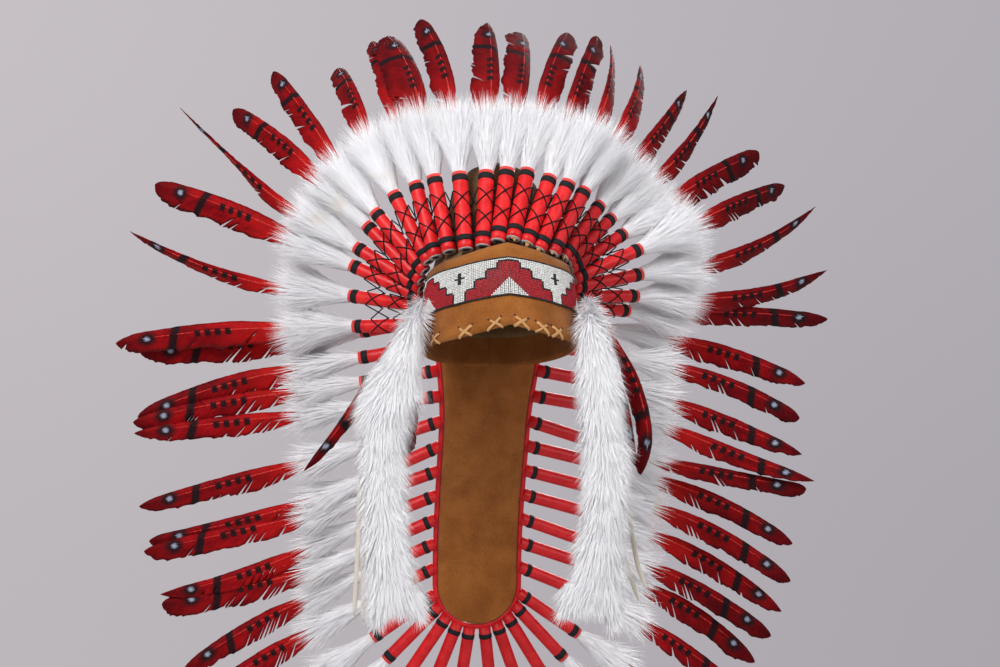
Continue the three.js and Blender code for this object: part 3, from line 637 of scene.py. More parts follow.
def feather_material():
    """Dyed vane with airbrushed marks. Attribute 'barb': across the shaft, distance from the tip
    and a number of the barb, in millimetres. Attribute 'vane': shaft flag, tone, seed; a higher
    tone darkens the vane, as painted shade on the crown plumes."""
    material, tree, shader = new_material("red_vane")

    def plus(a, b):
        return calc(tree, "ADD", a, b)

    def minus(a, b):
        return calc(tree, "SUBTRACT", a, b)

    def times(a, b):
        return calc(tree, "MULTIPLY", a, b)

    def distance(a, b):
        return calc(tree, "ABSOLUTE", minus(a, b))

    def larger(a, b):
        return calc(tree, "MAXIMUM", a, b)

    def place(x, y, z):
        return put(tree, "ShaderNodeCombineXYZ", {0: x, 1: y, 2: z}).outputs[0]

    def painted(strength, under, colour):
        return blend(tree, strength, under, colour)

    across, from_tip, barb = put(tree, "ShaderNodeSeparateXYZ",
                                 {0: attribute(tree, "barb")}).outputs
    shaft, tone, seed = put(tree, "ShaderNodeSeparateXYZ", {0: attribute(tree, "vane")}).outputs
    streak = fine_noise(tree, place(times(barb, 1.3), times(across, 0.05), seed), 1.0, 4.0)
    blotch = fine_noise(tree, place(times(across, 0.09), times(from_tip, 0.035), seed), 1.0, 2.0)
    mist = fine_noise(tree, place(times(across, 0.5), times(from_tip, 0.5), seed), 1.0, 2.0)
    soft = times(minus(mist, 0.5), 4.0)

    lit = ramp(tree, plus(times(streak, 0.55), times(blotch, 0.6)), 0.36, 0.8)
    red = blend(tree, lit, (0.13, 0.002, 0.005), (0.50, 0.006, 0.009))
    root_light = ramp(tree, from_tip, 95.0, 190.0, 0.0, 0.55)
    red = painted(root_light, red, (0.74, 0.016, 0.012))
    tip_dark = ramp(tree, plus(from_tip, times(soft, 4.0)), 0.0, 44.0, 0.72, 0.0)
    red = painted(tip_dark, red, (0.05, 0.002, 0.004))
    # Painted shade: a higher tone darkens the vane, which on the crown plumes stands for their
    # being less lit.
    shade_and_tone_dark = times(tone, ramp(tree, from_tip, 80.0, 190.0, 0.68, 0.34))
    red = painted(shade_and_tone_dark, red, (0.035, 0.001, 0.003))
    quill = blend(tree, ramp(tree, streak, 0.45, 0.75), (0.55, 0.012, 0.014), (0.80, 0.16, 0.12))
    colour = painted(times(shaft, ramp(tree, from_tip, 25.0, 60.0)), red, quill)

    leaning = plus(from_tip, times(across, 0.35))
    band_off = plus(distance(leaning, BAND_FROM_TIP), times(soft, 0.6))
    band = ramp(tree, band_off, 3.2, 6.4, 1.0, 0.0)
    half_row = DOT_COUNT / 2 * DOT_SPACING
    shifted = minus(from_tip, DOTS_FROM_TIP - DOT_SPACING / 2)
    in_row = calc(tree, "LESS_THAN", distance(shifted, half_row), half_row)
    wrapped = calc(tree, "FLOORED_MODULO", shifted, DOT_SPACING)
    aside = times(distance(across, 1.4), 0.85)
    dot_off = plus(larger(distance(wrapped, DOT_SPACING / 2), aside), times(soft, 0.35))
    dots = times(ramp(tree, dot_off, 2.4, 4.2, 1.0, 0.0), in_row)
    eye_off = put(tree, "ShaderNodeVectorMath", {0: place(
        minus(across, 1.0), times(minus(from_tip, EYE_FROM_TIP), 0.8), 0.0)}, operation="LENGTH")
    eye_off = plus(eye_off.outputs["Value"], times(soft, 0.5))
    halo = ramp(tree, eye_off, 4.0, 12.0, 0.97, 0.0)
    black = times(larger(larger(band, dots), halo), ramp(tree, streak, 0.2, 0.6, 0.82, 1.0))
    colour = painted(black, colour, (0.008, 0.008, 0.01))
    colour = painted(ramp(tree, eye_off, 0.4, 4.0, 0.9, 0.0), colour, (0.42, 0.48, 0.62))
    finish_shader(tree, shader, colour, minus(0.58, times(shaft, 0.26)), streak, 0.6, 0.0007,
                  specular_ior_level=0.18, specular_tint=(1, 0.35, 0.32, 1))
    return material


def fluff_material(name, shadow, body, cream, cream_from=0.58, cream_to=0.84):
    """White fur: painted shade greys the roots and reaches up each strand by a random amount, with
    faint cream patches.
    """
    material, tree, shader = new_material(name)
    along = attribute(tree, "strand", "Fac")
    shade = attribute(tree, "shade", "Fac")
    patch = fine_noise(tree, object_place(tree), 26.0, 2.0)
    white = blend(tree, ramp(tree, patch, cream_from, cream_to, 0.0, 0.8), body, cream)
    # Painted shade: the core and the lower part of each strand take the shadow colour.
    light = ramp(tree, calc(tree, "ADD", along, calc(tree, "MULTIPLY", shade, 0.45)), 0.0, 0.6)
    finish_shader(tree, shader, blend(tree, light, shadow, white), 0.8, sheen_weight=0.2,
                  sheen_roughness=0.4, specular_ior_level=0.15)
    return material


NAP = make_nap_group()
BAND_SUEDE = suede_material("band_suede", (0.22, 0.068, 0.013), (0.38, 0.135, 0.030))
CAP_SUEDE = suede_material("cap_suede", (0.11, 0.058, 0.022), (0.24, 0.14, 0.058))
WHITE_BEAD = bead_material("white_bead", (0.74, 0.73, 0.70), (0.95, 0.95, 0.93))
RED_BEAD = bead_material("red_bead", (0.38, 0.005, 0.014), (0.58, 0.010, 0.026))
BLACK_BEAD = bead_material("black_bead", (0.006, 0.006, 0.007), (0.02, 0.02, 0.024))
RED_WRAP = cloth_material()
BLACK_RIBBON = thread_material("black_ribbon", (0.006, 0.006, 0.007), (0.022, 0.021, 0.024))
LACING = thread_material("lacing_thread", (0.008, 0.004, 0.005), (0.022, 0.010, 0.012))
RED_THREAD = thread_material("red_thread", (0.35, 0.008, 0.012), (0.55, 0.02, 0.025))
WHITE_THREAD = thread_material("white_thread", (0.6, 0.59, 0.57), (0.85, 0.84, 0.82))
WARP_THREAD = thread_material("warp_thread", (0.10, 0.09, 0.09), (0.2, 0.19, 0.18))
VANE = feather_material()
CROWN_FLUFF = fluff_material("crown_fluff", (0.80, 0.79, 0.82), (0.95, 0.945, 0.965),
                             (0.87, 0.81, 0.72))
DROP_FUR = fluff_material("drop_fur", (0.82, 0.81, 0.84), (0.96, 0.955, 0.97),
                          (0.89, 0.85, 0.78), 0.6, 0.8)
CREAM_THONG = grained_material("cream_thong", (0.60, 0.54, 0.43), (0.80, 0.75, 0.65), 900.0,
                               0.85, sheen_weight=0.3)
TAN_THONG = grained_material("tan_thong", (0.44, 0.21, 0.065), (0.66, 0.36, 0.135), 900.0,
                             0.85, sheen_weight=0.2)
TUBE_END = grained_material("tube_end", (0.34, 0.33, 0.32), (0.60, 0.58, 0.55), 1200.0, 0.8)
# Near-black, as painted shade: the hollows of the sheath ends and the stitch holes.
HOLLOW_SHADE = grained_material("tube_core", (0.008, 0.008, 0.008), (0.02, 0.02, 0.02), 800.0, 0.9)

# ---------------------------------------------------------------- ties


def make_ties(side):
    """The knot at a temple and the two thongs that hang from it."""
    knot_at = Vector(TIES[side][0][0])
    bm = bmesh.new()
    made = bmesh.ops.create_uvsphere(bm, u_segments=16, v_segments=10, radius=TIE_KNOT)["verts"]
    for vert in made:
        fold = 1 + 0.16 * noise.noise(vert.co * 0.35 + Vector((3, 1, 2)))
        vert.co = vert.co * Vector((0.9, 1, 0.85)) * fold + knot_at
    knot = new_piece(f"tie_knot_{side}", bm, "cream_thong", [CREAM_THONG], [f"tie_{side}"])
    for number, points in enumerate(TIES[side], 1):
        path = smooth_route(points, 34)
        line, length = route_line(points, FRONT, 120)
        bm = bmesh.new()

        def strap(u, v):
            along = v * length
            taper = 1 - 0.55 * smooth(length - 14, length, along)
            station = line(along, 26 * math.sin(v * 5 + number))
            half = TIE_WIDTH / 2 * taper * (1 + 0.06 * wave(along, number, 20))
            return oval(station, half, TIE_THICKNESS / 2, u)

        tube(bm, 10, 60, strap)
        tail = new_piece(f"tie_{side}_{number}", bm, "cream_thong", [CREAM_THONG],
                         [f"tie_{side}"])
        metres = [tuple(point * MM) for point in path]
        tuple(metres[0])


# ---------------------------------------------------------------- feathers

BARB_SLANT = 1.1
VANE_ROWS = 46
VANE_LEAD_COLUMNS = 3
VANE_WIDE_COLUMNS = 5
VANE_THICKNESS = 0.35
VANE_START = 50.0  # from the sheath's outer end
LEAD_SHARE = 0.30  # of the width, on the narrow side of the shaft
LIP_OFFSET = 0.12  # how far the two lips of a closed tear stand apart, each way
SHAFT_START, SHAFT_SHORT_OF_TIP = 6.0, 1.5
SHAFT_ROOT_RADIUS, SHAFT_TIP_RADIUS = 1.45, 0.35


def vane_profile(share, wide, length, point):
    """Half width of a vane along the shaft, as a share of its widest."""
    sharp = min(point, 1.5) / 1.5
    rise = lerp(0.45, 1.0, smooth(0, 0.4, share))
    belly = 1 - lerp(0.06, 0.5, sharp) * smooth(0.4, 1.0, share)
    reach = clamp(lerp(0.6, 2.2, sharp) * wide / length, 0.08, 0.5)
    over = clamp((share - (1 - reach)) / reach)
    return rise * belly * max(0.0, 1 - over * over) ** lerp(0.5, 1.1, sharp)


def barb_slant(root, length):
    """How far a barb leans to the tip for each step outward."""
    return BARB_SLANT * clamp((length - root) / 20)


def barb_reach(root, half, start, length, wide, point):
    """How far out a barb ends, so that the ends of the slanting barbs follow the outline."""
    reach = 0.0
    for _ in range(8):
        share = (root + barb_slant(root, length) * reach - start) / (length - start)
        reach = 0.5 * (reach + half * vane_profile(share, wide, length - start, point))
    return reach


def barb_lines(start, length, tears):
    """Where the barbs leave the shaft: (place, lip, tear), a lip being the edge of a tear."""
    lines = [(length - (length - start) * (1 - k / VANE_ROWS) ** 1.25, 0, None)
             for k in range(VANE_ROWS + 1)]
    for tear in tears:
        place = length - tear["from_tip"]
        near = min(range(1, len(lines) - 1), key=lambda k: abs(lines[k][0] - place))
        if lines[near][1] == 0:
            lines[near:near + 1] = [(lines[near][0], -1, tear), (lines[near][0], 1, tear)]
    return lines


def shaft_bow(share, wide, point):
    """How far the shaft bows to the wide side. Blunt plumes bow the other way."""
    bow = lerp(-0.14, 0.42, smooth(0.7, 1.15, point)) * wide
    return bow * math.sin(math.pi * clamp(share) ** 1.4)


def twist_at(twist, share):
    """How far a vane has turned about its shaft."""
    return 1.5 * twist * smooth(0.12, 0.8, share)


def add_feather(bm, line, length, wide, point, wide_side, seed, tears, tone, twist=0.0,
                start=VANE_START):
    """A vane with its barbs, torn edge and marks, and the shaft that carries it."""
    barb_layer = bm.verts.layers.float_vector["barb"]
    vane_layer = bm.verts.layers.float_vector["vane"]
    lines = barb_lines(start, length, tears)
    dice = random.Random(seed)
    shifts = [[dice.uniform(-1, 1) for _ in range(3)] for _ in lines]
    columns, rows = VANE_LEAD_COLUMNS + VANE_WIDE_COLUMNS, len(lines) - 1

    def side_share(u):
        """How far out a barb's point is: -1 at the narrow edge, 0 at the shaft, 1 at the wide."""
        column = u * columns - VANE_LEAD_COLUMNS
        return column / (VANE_LEAD_COLUMNS if column < 0 else VANE_WIDE_COLUMNS)

    def reach_out(root, share):
        """How far from the shaft a point lies on a whole barb."""
        half = wide * (LEAD_SHARE if share < 0 else 1 - LEAD_SHARE)
        return barb_reach(root, half, start, length, wide, point) * abs(share)

    def keep(u, v):
        """False inside an open tear."""
        row = int(v * rows)
        (_, lip, tear), (_, next_lip, _) = lines[row:row + 2]
        return not (lip == -1 and next_lip == 1 and side_share(u) > tear["depth"])

    def mark(vert, u, v):
        root, share = lines[round(v * rows)][0], side_share(u)
        reach = reach_out(root, share)
        vert[barb_layer] = (math.copysign(reach, share),
                            length - root - barb_slant(root, length) * reach, root)
        vert[vane_layer] = (0.0, tone, seed * 3.7)

    def torn(root, share, lip, own_tear):
        """How far the tears push a point of the wide side along the shaft."""
        push = lip * LIP_OFFSET
        for tear in tears if share > 0 else ():
            off = root - (length - tear["from_tip"])
            opening = clamp((share - tear["depth"]) / (1 - tear["depth"]))
            way = lip if lip and own_tear is tear else math.copysign(1, off)
            push += way * 0.5 * tear["gap"] * opening * math.exp(-abs(off) / (1.4 * tear["gap"]))
        return push

    def place(u, v):
        row, share = round(v * rows), side_share(u)
        root, lip, tear = lines[row]
        edge = abs(share)
        reach = reach_out(root, share)
        wide_shift, lead_shift, face_shift = shifts[row]
        if share > 0:
            scallop = 1 + 0.15 * wave(root, seed, 15) + 0.08 * wave(root, seed + 5, 4.5)
            reach *= lerp(1, scallop, edge) + 0.05 * wide_shift * edge ** 3
        else:
            reach *= 1 + 0.05 * wave(root, seed + 9, 18) * edge + 0.03 * lead_shift * edge ** 3
        along = root + barb_slant(root, length) * reach + torn(root, share, lip, tear)
        bow = shaft_bow(along / length, wide, point) * wide_side
        station = line(along, twist_at(twist, along / length))
        droop = -0.14 * reach - 0.012 * reach * reach
        ripple = (0.55 * wave(root, seed + 3, 7) + 0.25 * face_shift) * edge
        side = math.copysign(1, share) * wide_side
        return (station["point"] + station["across"] * (bow + side * reach)
                + station["face"] * (droop + ripple + 0.3))

    made = mapped_grid(bm, columns, rows, place, keep, mark)
    bmesh.ops.solidify(bm, geom=list({face for vert in made for face in vert.link_faces}),
                       thickness=VANE_THICKNESS)

    def shaft(u, v):
        along = lerp(SHAFT_START, length - SHAFT_SHORT_OF_TIP, v)
        station = line(along, twist_at(twist, along / length))
        bow = shaft_bow(along / length, wide, point) * wide_side
        radius = lerp(SHAFT_ROOT_RADIUS, SHAFT_TIP_RADIUS, v ** 0.8)
        return (oval(station, radius, radius * 0.9, u) + station["across"] * bow
                + station["face"] * 0.35)

    for vert in tube(bm, 6, 16, shaft):
        near = (vert.co - line(0)["point"]).length
        vert[barb_layer] = (0.6, length - near, near)
        vert[vane_layer] = (1.0, tone, seed * 3.7)


def feather_mesh():
    bm = bmesh.new()
    bm.verts.layers.float_vector.new("barb")
    bm.verts.layers.float_vector.new("vane")
    return bm


def small_tears(seed, length, count):
    """A few slits by chance, and open barbs near the root."""
    dice = random.Random(seed * 11 + 5)
    slits = [{"from_tip": dice.uniform(50, length - 90), "depth": dice.uniform(0.35, 0.75),
              "gap": dice.uniform(1.6, 3.4)} for _ in range(count)]
    frays = [{"from_tip": length - dice.uniform(84, 140), "depth": dice.uniform(0.15, 0.45),
              "gap": dice.uniform(2.5, 5)} for _ in range(count)]
    return slits + frays


# ---------------------------------------------------------------- fluff

STRAND_BENDS = (0.10, -0.06, 0.2)


def make_strands():
    """Bent, tapered strands, one unit long, for growing fur."""
    group = bpy.data.collections.new("strands")
    scene.collection.children.link(group)
    for number, bend in enumerate(STRAND_BENDS):
        bm = bmesh.new()
        layer = bm.verts.layers.float.new("strand")

        def strand(u, v):
            width = 1 - v ** 1.6
            sway = 0.36 * v * math.sin(3 * v + 2 * number)
            return Vector(((u - 0.5) * width + sway, bend * v * v, v))

        made = mapped_grid(bm, 1, 3, strand)
        for vert in made:
            vert[layer] = vert.co.z
        bmesh.ops.remove_doubles(bm, verts=made, dist=1e-3)
        name = f"strand_{number}"
        group.objects.link(bpy.data.objects.new(name, finished_mesh(name, bm)))
    return group


def make_grow_group():
    """Geometry nodes that grow strands over a core, along its 'flow' attribute."""
    tree = bpy.data.node_groups.new("grow strands", "GeometryNodeTree")
    sockets = (("Core", "Geometry"), ("Strands", "Collection"), ("Density", "Float"),
               ("Length", "Float"), ("Width", "Float"), ("Lift", "Float"), ("Clump", "Float"),
               ("Stray", "Float"), ("Seed", "Int"), ("Clump Scale", "Float"))
    for name, kind in sockets:
        tree.interface.new_socket(name, in_out="INPUT", socket_type=f"NodeSocket{kind}")
    tree.interface.new_socket("Fur", in_out="OUTPUT", socket_type="NodeSocketGeometry")
    given = put(tree, "NodeGroupInput").outputs
    spread = put(tree, "GeometryNodeDistributePointsOnFaces", {
        "Mesh": given["Core"], "Density": given["Density"], "Seed": given["Seed"]})
    flow = put(tree, "GeometryNodeInputNamedAttribute", {"Name": "flow"}, data_type="FLOAT_VECTOR")
    place = put(tree, "GeometryNodeInputPosition").outputs[0]
    clump = put(tree, "ShaderNodeTexNoise", {"Vector": place, "Scale": given["Clump Scale"],
                                             "Detail": 2.0}).outputs["Color"]

    def vector(operation, a, b=None, scale=None):
        inputs = {0: a}
        if b is not None:
            inputs[1] = b
        if scale is not None:
            inputs["Scale"] = scale
        return put(tree, "ShaderNodeVectorMath", inputs, operation=operation).outputs[0]

    def dice(low, high, seed):
        made = put(tree, "FunctionNodeRandomValue", {2: low, 3: high, "Seed": seed},
                   data_type="FLOAT")
        return made.outputs[1]

    clumping = vector("SCALE", vector("SUBTRACT", clump, (0.5, 0.5, 0.5)), scale=given["Clump"])
    stray = put(tree, "FunctionNodeRandomValue", {0: (-1, -1, -1), 1: (1, 1, 1), "Seed": 3},
                data_type="FLOAT_VECTOR").outputs[0]
    straying = vector("SCALE", stray, scale=given["Stray"])
    lifting = vector("SCALE", spread.outputs["Normal"], scale=given["Lift"])
    way = vector("NORMALIZE", vector("ADD", vector("ADD", flow.outputs[0], clumping),
                                     vector("ADD", straying, lifting)))
    stand = put(tree, "FunctionNodeAlignRotationToVector", {"Vector": way}, axis="Z")
    turned = put(tree, "FunctionNodeAlignRotationToVector", {
        "Rotation": stand.outputs[0], "Vector": spread.outputs["Normal"]}, axis="Y", pivot_axis="Z")
    reach = put(tree, "GeometryNodeInputNamedAttribute", {"Name": "reach"}, data_type="FLOAT")
    long = calc(tree, "MULTIPLY", calc(tree, "MULTIPLY", dice(0.6, 1.15, 5), given["Length"]),
                reach.outputs[0])
    wide = calc(tree, "MULTIPLY", dice(0.6, 1.4, 8), given["Width"])
    size = put(tree, "ShaderNodeCombineXYZ", {0: wide, 1: long, 2: long}).outputs[0]
    picks = put(tree, "GeometryNodeCollectionInfo", {
        "Collection": given["Strands"], "Separate Children": True, "Reset Children": True})
    grown = put(tree, "GeometryNodeInstanceOnPoints", {
        "Points": spread.outputs["Points"], "Instance": picks.outputs[0], "Pick Instance": True,
        "Rotation": turned.outputs[0], "Scale": size})
    shaded = put(tree, "GeometryNodeStoreNamedAttribute", {
        "Geometry": grown.outputs[0], "Name": "shade", "Value": dice(0.0, 1.0, 11)},
        data_type="FLOAT", domain="INSTANCE")
    real = put(tree, "GeometryNodeRealizeInstances", {"Geometry": shaded.outputs[0]})
    both = put(tree, "GeometryNodeJoinGeometry", {"Geometry": real.outputs[0]})
    tree.links.new(given["Core"], both.inputs[0])
    put(tree, "NodeGroupOutput", {0: both.outputs[0]})
    return tree


def grow_fur(piece, material, **values):
    """Grows strands over a piece's core and keeps the result."""
    grow = piece.modifiers.new("grow", "NODES")
    grow.node_group = GROW
    sockets = {item.name: item.identifier for item in GROW.interface.items_tree
               if item.in_out == "INPUT"}
    grow[sockets["Strands"]] = STRANDS
    for name, value in values.items():
        grow[sockets[name.replace("_", " ").title()]] = value
    apply_modifiers(piece)
    piece.data.materials.clear()
    piece.data.materials.append(material)
    piece.data.shade_smooth()


STRANDS = make_strands()
GROW = make_grow_group()


def core_mesh():
    bm = bmesh.new()
    bm.verts.layers.float_vector.new("flow")
    bm.verts.layers.float.new("reach")
    return bm


TUFT_ROWS = 9
TUFT_AROUND = 14


def add_tuft(bm, line, width_at, depth_at, seed):
    """The core of a plume's fluff. Attribute 'flow': the way its strands lie, and 'reach': how
    long they are."""
    flow_layer = bm.verts.layers.float_vector["flow"]
    reach_layer = bm.verts.layers.float["reach"]

    def core(u, v):
        along = lerp(-2.0, TUFT_CORE, v)
        angle = 2 * math.pi * u
        lump = 1 + 0.10 * noise.noise(
            Vector((4 * math.cos(angle), 4 * math.sin(angle), along / 14 + seed)))
        closing = lump * math.sqrt(max(0.0, 1 - clamp((v - 0.86) / 0.16) ** 2))
        return oval(line(along), width_at(along) * closing, depth_at(along) * closing, u)

    for vert in tube(bm, TUFT_AROUND, TUFT_ROWS, core):
        near = line(0)
        along = (vert.co - near["point"]).dot(near["ahead"])
        station = line(clamp(along, 0, TUFT_CORE))
        out = vert.co - station["point"]
        out = out - station["ahead"] * out.dot(station["ahead"])
        splay = 0.020 * smooth(0, TUFT_CORE, along) + 0.006
        vert[flow_layer] = station["ahead"] + out * splay
        vert[reach_layer] = lerp(0.75, 1.0, smooth(0, 30, along))


# ---------------------------------------------------------------- crown

def neighbour_limit(lines, i, share):
    """The widest half width that the next plumes leave at a distance along a plume."""
    def limit(along):
        near = [lines[k] for k in (i - 1, i + 1) if 0 <= k < len(lines)]
        here = lines[i](along)["point"]
        return share * min((line(along)["point"] - here).length for line in near)
    return limit


def crown_shade(i):
    """How dark a plume is painted, as painted shade: most over the forehead and to the wearer's
    left of it, where the plumes are less lit, with a little uneven tone besides.
    """
    middle = len(CROWN) // 2
    over_brow = 1.0 - abs(i - middle) / (middle + 1)
    on_wearers_left = 0.9 * smooth(14, 17, i)
    return clamp(max(over_brow, on_wearers_left) + 0.12 * math.cos(2.3 * i))


def make_crown_plume(i, row, line, limit):
    """The feather and the fluff of one crown plume. limit: half width that the next ones leave."""
    number = f"{i + 1:02d}"
    node = f"crown_plume_{number}"
    bm = feather_mesh()
    tears = [tear for tear in TEARS if tear["plume"] == i + 1]
    tears += small_tears(i + 1, row["length"], 1)
    add_feather(bm, line, row["length"], row["wide"], row["point"], row["wide_side"], i + 1, tears,
                crown_shade(i), row["twist"])
    new_piece(f"crown_feather_{number}", bm, "red_feather", [VANE], [node])
    bm = core_mesh()
    add_tuft(bm, line,
             lambda along: min(lerp(7.0, 18.0, smooth(-8, 50, along)), limit(along) * 1.15),
             lambda along: lerp(5.4, 8.0, smooth(-6, 50, along)), i)
    tuft = new_piece(f"crown_fluff_{number}", bm, "white_fur", [], [node])
    grow_fur(tuft, CROWN_FLUFF, density=520000.0, length=0.038, width=0.00055, lift=0.14,
             clump=0.6, stray=0.09, seed=i + 1, clump_scale=85.0)


WRAP_PADDING = 0.8
BAND_FROM_TOP, BAND_HEIGHT = 3.2, 7.6
LOW_BAND_FROM_END, LOW_BAND_HEIGHT = 8, 6  # on the trailer's sheaths
SHADED_FROM, SHADED_TO = 16, 19  # the crown sheaths with the most painted shade, where they are less lit
END_RINGS = table("past_end out", ((0.2, -0.5), (0.7, -0.7), (0.7, -3.9)))


def sheath_station(line, row, along, turn, out):
    """A point on a sheath's surface, at a turn round it from the front, some way out."""
    station = line(along)
    angle = 2 * math.pi * turn
    return (station["point"]
            + station["across"] * ((row["tube"] / 2 + WRAP_PADDING + out) * math.sin(angle))
            + station["face"] * ((SHEATH_DEPTH / 2 + WRAP_PADDING + out) * math.cos(angle)))


def add_wall(bm, line, row, low, high, out, rows, layer=None, dull_and_shade=0.0):
    """A closed band of cloth round a sheath."""
    def outer(u, v):
        along = lerp(low, high, v)
        edge = 1 - (2 * v - 1) ** 8
        angle = 2 * math.pi * u
        lump = 0.10 * noise.noise(
            Vector((3 * math.cos(angle), 3 * math.sin(angle), along / 9 + row["x"])))
        return sheath_station(line, row, along, u, out * edge + lump)

    for vert in tube(bm, 28, rows, outer):
        if layer:
            top = line(0)
            vert[layer] = ((vert.co - top["point"]).dot(top["ahead"]), dull_and_shade, 0)


def add_top_band(bm, line, row, rows):
    """The black band near a sheath's outer end."""
    add_wall(bm, line, row, -BAND_FROM_TOP - BAND_HEIGHT, -BAND_FROM_TOP, 0.5, rows)


def make_sheaths(lines):
    """The wrapped sheaths with their black bands and cut ends, with a near-black disc in each end
    as painted shade for its hollow.
    """
    bands, ends, hollow_shades = bmesh.new(), bmesh.new(), bmesh.new()
    for i, (row, line) in enumerate(zip(CROWN, lines), 1):
        bm = bmesh.new()
        layer = bm.verts.layers.float_vector.new("along")
        # Painted shade: darker cloth on the sheaths to the wearer's left, which are less lit.
        dull_and_shade = 0.5 if SHADED_FROM <= i <= SHADED_TO else 0.25 if i > SHADED_TO else 0.0
        add_wall(bm, line, row, -SHEATH_LENGTH, 0, 0.0, 14, layer, dull_and_shade)
        new_piece(f"crown_sheath_cloth_{i:02d}", bm, "red_cloth", [RED_WRAP],
                  [f"crown_sheath_{i:02d}"])
        add_top_band(bands, line, row, 5)

        def end(u, v):
            ring = END_RINGS[round(v * 2)]
            return sheath_station(line, row, -SHEATH_LENGTH - ring["past_end"], u, ring["out"])

        # A near-black disc inside the cut end: painted shade for the tube's hollow.
        def core(u, v):
            return sheath_station(line, row, -SHEATH_LENGTH - lerp(-2, 0.85, v), u, -4.0)

        tube(ends, 24, 2, end)
        tube(hollow_shades, 16, 1, core)
    new_piece("crown_black_bands", bands, "black_cloth", [BLACK_RIBBON])
    new_piece("crown_tube_ends", ends, "white_beads", [TUBE_END])
    new_piece("crown_tube_cores", hollow_shades, "black_cloth", [HOLLOW_SHADE])


def add_cord(bm, points, radius, around=6, flat=None):
    """A round or flat cord along points."""
    count = len(points)

    def frame_at(i):
        ahead = (points[min(i + 1, count - 1)] - points[max(i - 1, 0)]).normalized()
        side = ahead.cross(FRONT)
        side = side.normalized() if side.length > 1e-3 else Vector((0, 0, 1))
        return {"point": points[i], "ahead": ahead, "across": side, "face": side.cross(ahead)}

    def place(u, v):
        return oval(frame_at(round(v * (count - 1))), radius, flat or radius, u)

    return tube(bm, around, count - 1, place)


# Turns are shares of the way round a sheath, from its front.
LACE_ZONES = (-31.0, -58.0)  # middle of each crossing, from the sheath's outer end
LACE_TURNS = (-0.27, -0.2, -0.12, -0.04, 0.04, 0.12, 0.2, 0.27)
LACE_RISE = 10.5
LACE_RADIUS = 0.72
RIBBON_FROM_END, RIBBON_HEIGHT = 11.5, 6.0
RIBBON_TURNS = (-0.24, -0.16, -0.08, 0.0, 0.08, 0.16, 0.24)
RIBBON_INSIDE, RIBBON_OUTSIDE = 0.5, 1.3  # how far out of the wrap its two faces are
KNOTTED, KNOT_LOOPS = slice(12, 17), 3  # crown plumes, counted from 0


def make_lacing(lines):
    """Threads that cross on every sheath: each passes all of them in an S."""
    bm = bmesh.new()
    for zone in LACE_ZONES:
        for way in (-1, 1):
            out = LACE_RADIUS * 0.7 + (0.5 if way > 0 else 0)
            points = []
            for row, line in zip(CROWN, lines):
                middle = zone + 1.6 * wave(row["x"], zone, 17)
                for turn in LACE_TURNS:
                    rise = way * LACE_RISE * math.sin(turn / LACE_TURNS[-1] * math.pi / 2)
                    points.append(sheath_station(line, row, middle + rise, turn, out))
            add_cord(bm, points, LACE_RADIUS)
    new_piece("crown_lacing", bm, "black_cloth", [LACING])


def make_ribbon(lines):
    """One ribbon that weaves over the lower ends of all the sheaths."""
    stations = []
    for row, line in zip(CROWN, lines):
        middle = -SHEATH_LENGTH + RIBBON_FROM_END + 0.8 * wave(row["x"], 4, 20)
        low, high = middle - RIBBON_HEIGHT / 2, middle + RIBBON_HEIGHT / 2
        for turn in RIBBON_TURNS:
            stations.append([sheath_station(line, row, along, turn, out) for along, out in (
                (low, RIBBON_INSIDE), (high, RIBBON_INSIDE),
                (high, RIBBON_OUTSIDE), (low, RIBBON_OUTSIDE))])
    bm = bmesh.new()
    tube(bm, 4, len(stations) - 1,
         lambda u, v: stations[round(v * (len(stations) - 1))][round(u * 4) % 4])
    new_piece("crown_ribbon", bm, "black_cloth", [BLACK_RIBBON])


def make_end_knots(lines):
    """Small thong knots that stand out of some sheath ends above the forehead."""
    bm = bmesh.new()
    dice = random.Random(12)
    for row, line in list(zip(CROWN, lines))[KNOTTED]:
        for _ in range(KNOT_LOOPS):
            first = sheath_station(line, row, -SHEATH_LENGTH - 1, dice.uniform(-0.1, 0.1), -4)
            tip = first + Vector((dice.uniform(-4, 4), dice.uniform(-2.5, 0), dice.uniform(-4, 2)))
            middle = first.lerp(tip, 0.5) + Vector((0, -2.2, dice.uniform(-1, 1)))
            add_cord(bm, smooth_route((first, middle, tip), 7), 1.25, 6, 0.8)
    new_piece("crown_end_knots", bm, "tan_thong", [TAN_THONG])


def make_crown():
    lines = [plume_line(row) for row in CROWN]
    for i, (row, line) in enumerate(zip(CROWN, lines)):
        make_crown_plume(i, row, line, neighbour_limit(lines, i, 0.46))
    for dress in (make_sheaths, make_lacing, make_ribbon, make_end_knots):
        dress(lines)


# ---------------------------------------------------------------- cap, band and beads

CAP_WALL = 1.6
CAP_RADIUS = 90  # about
CAP_CREASE = 1.1


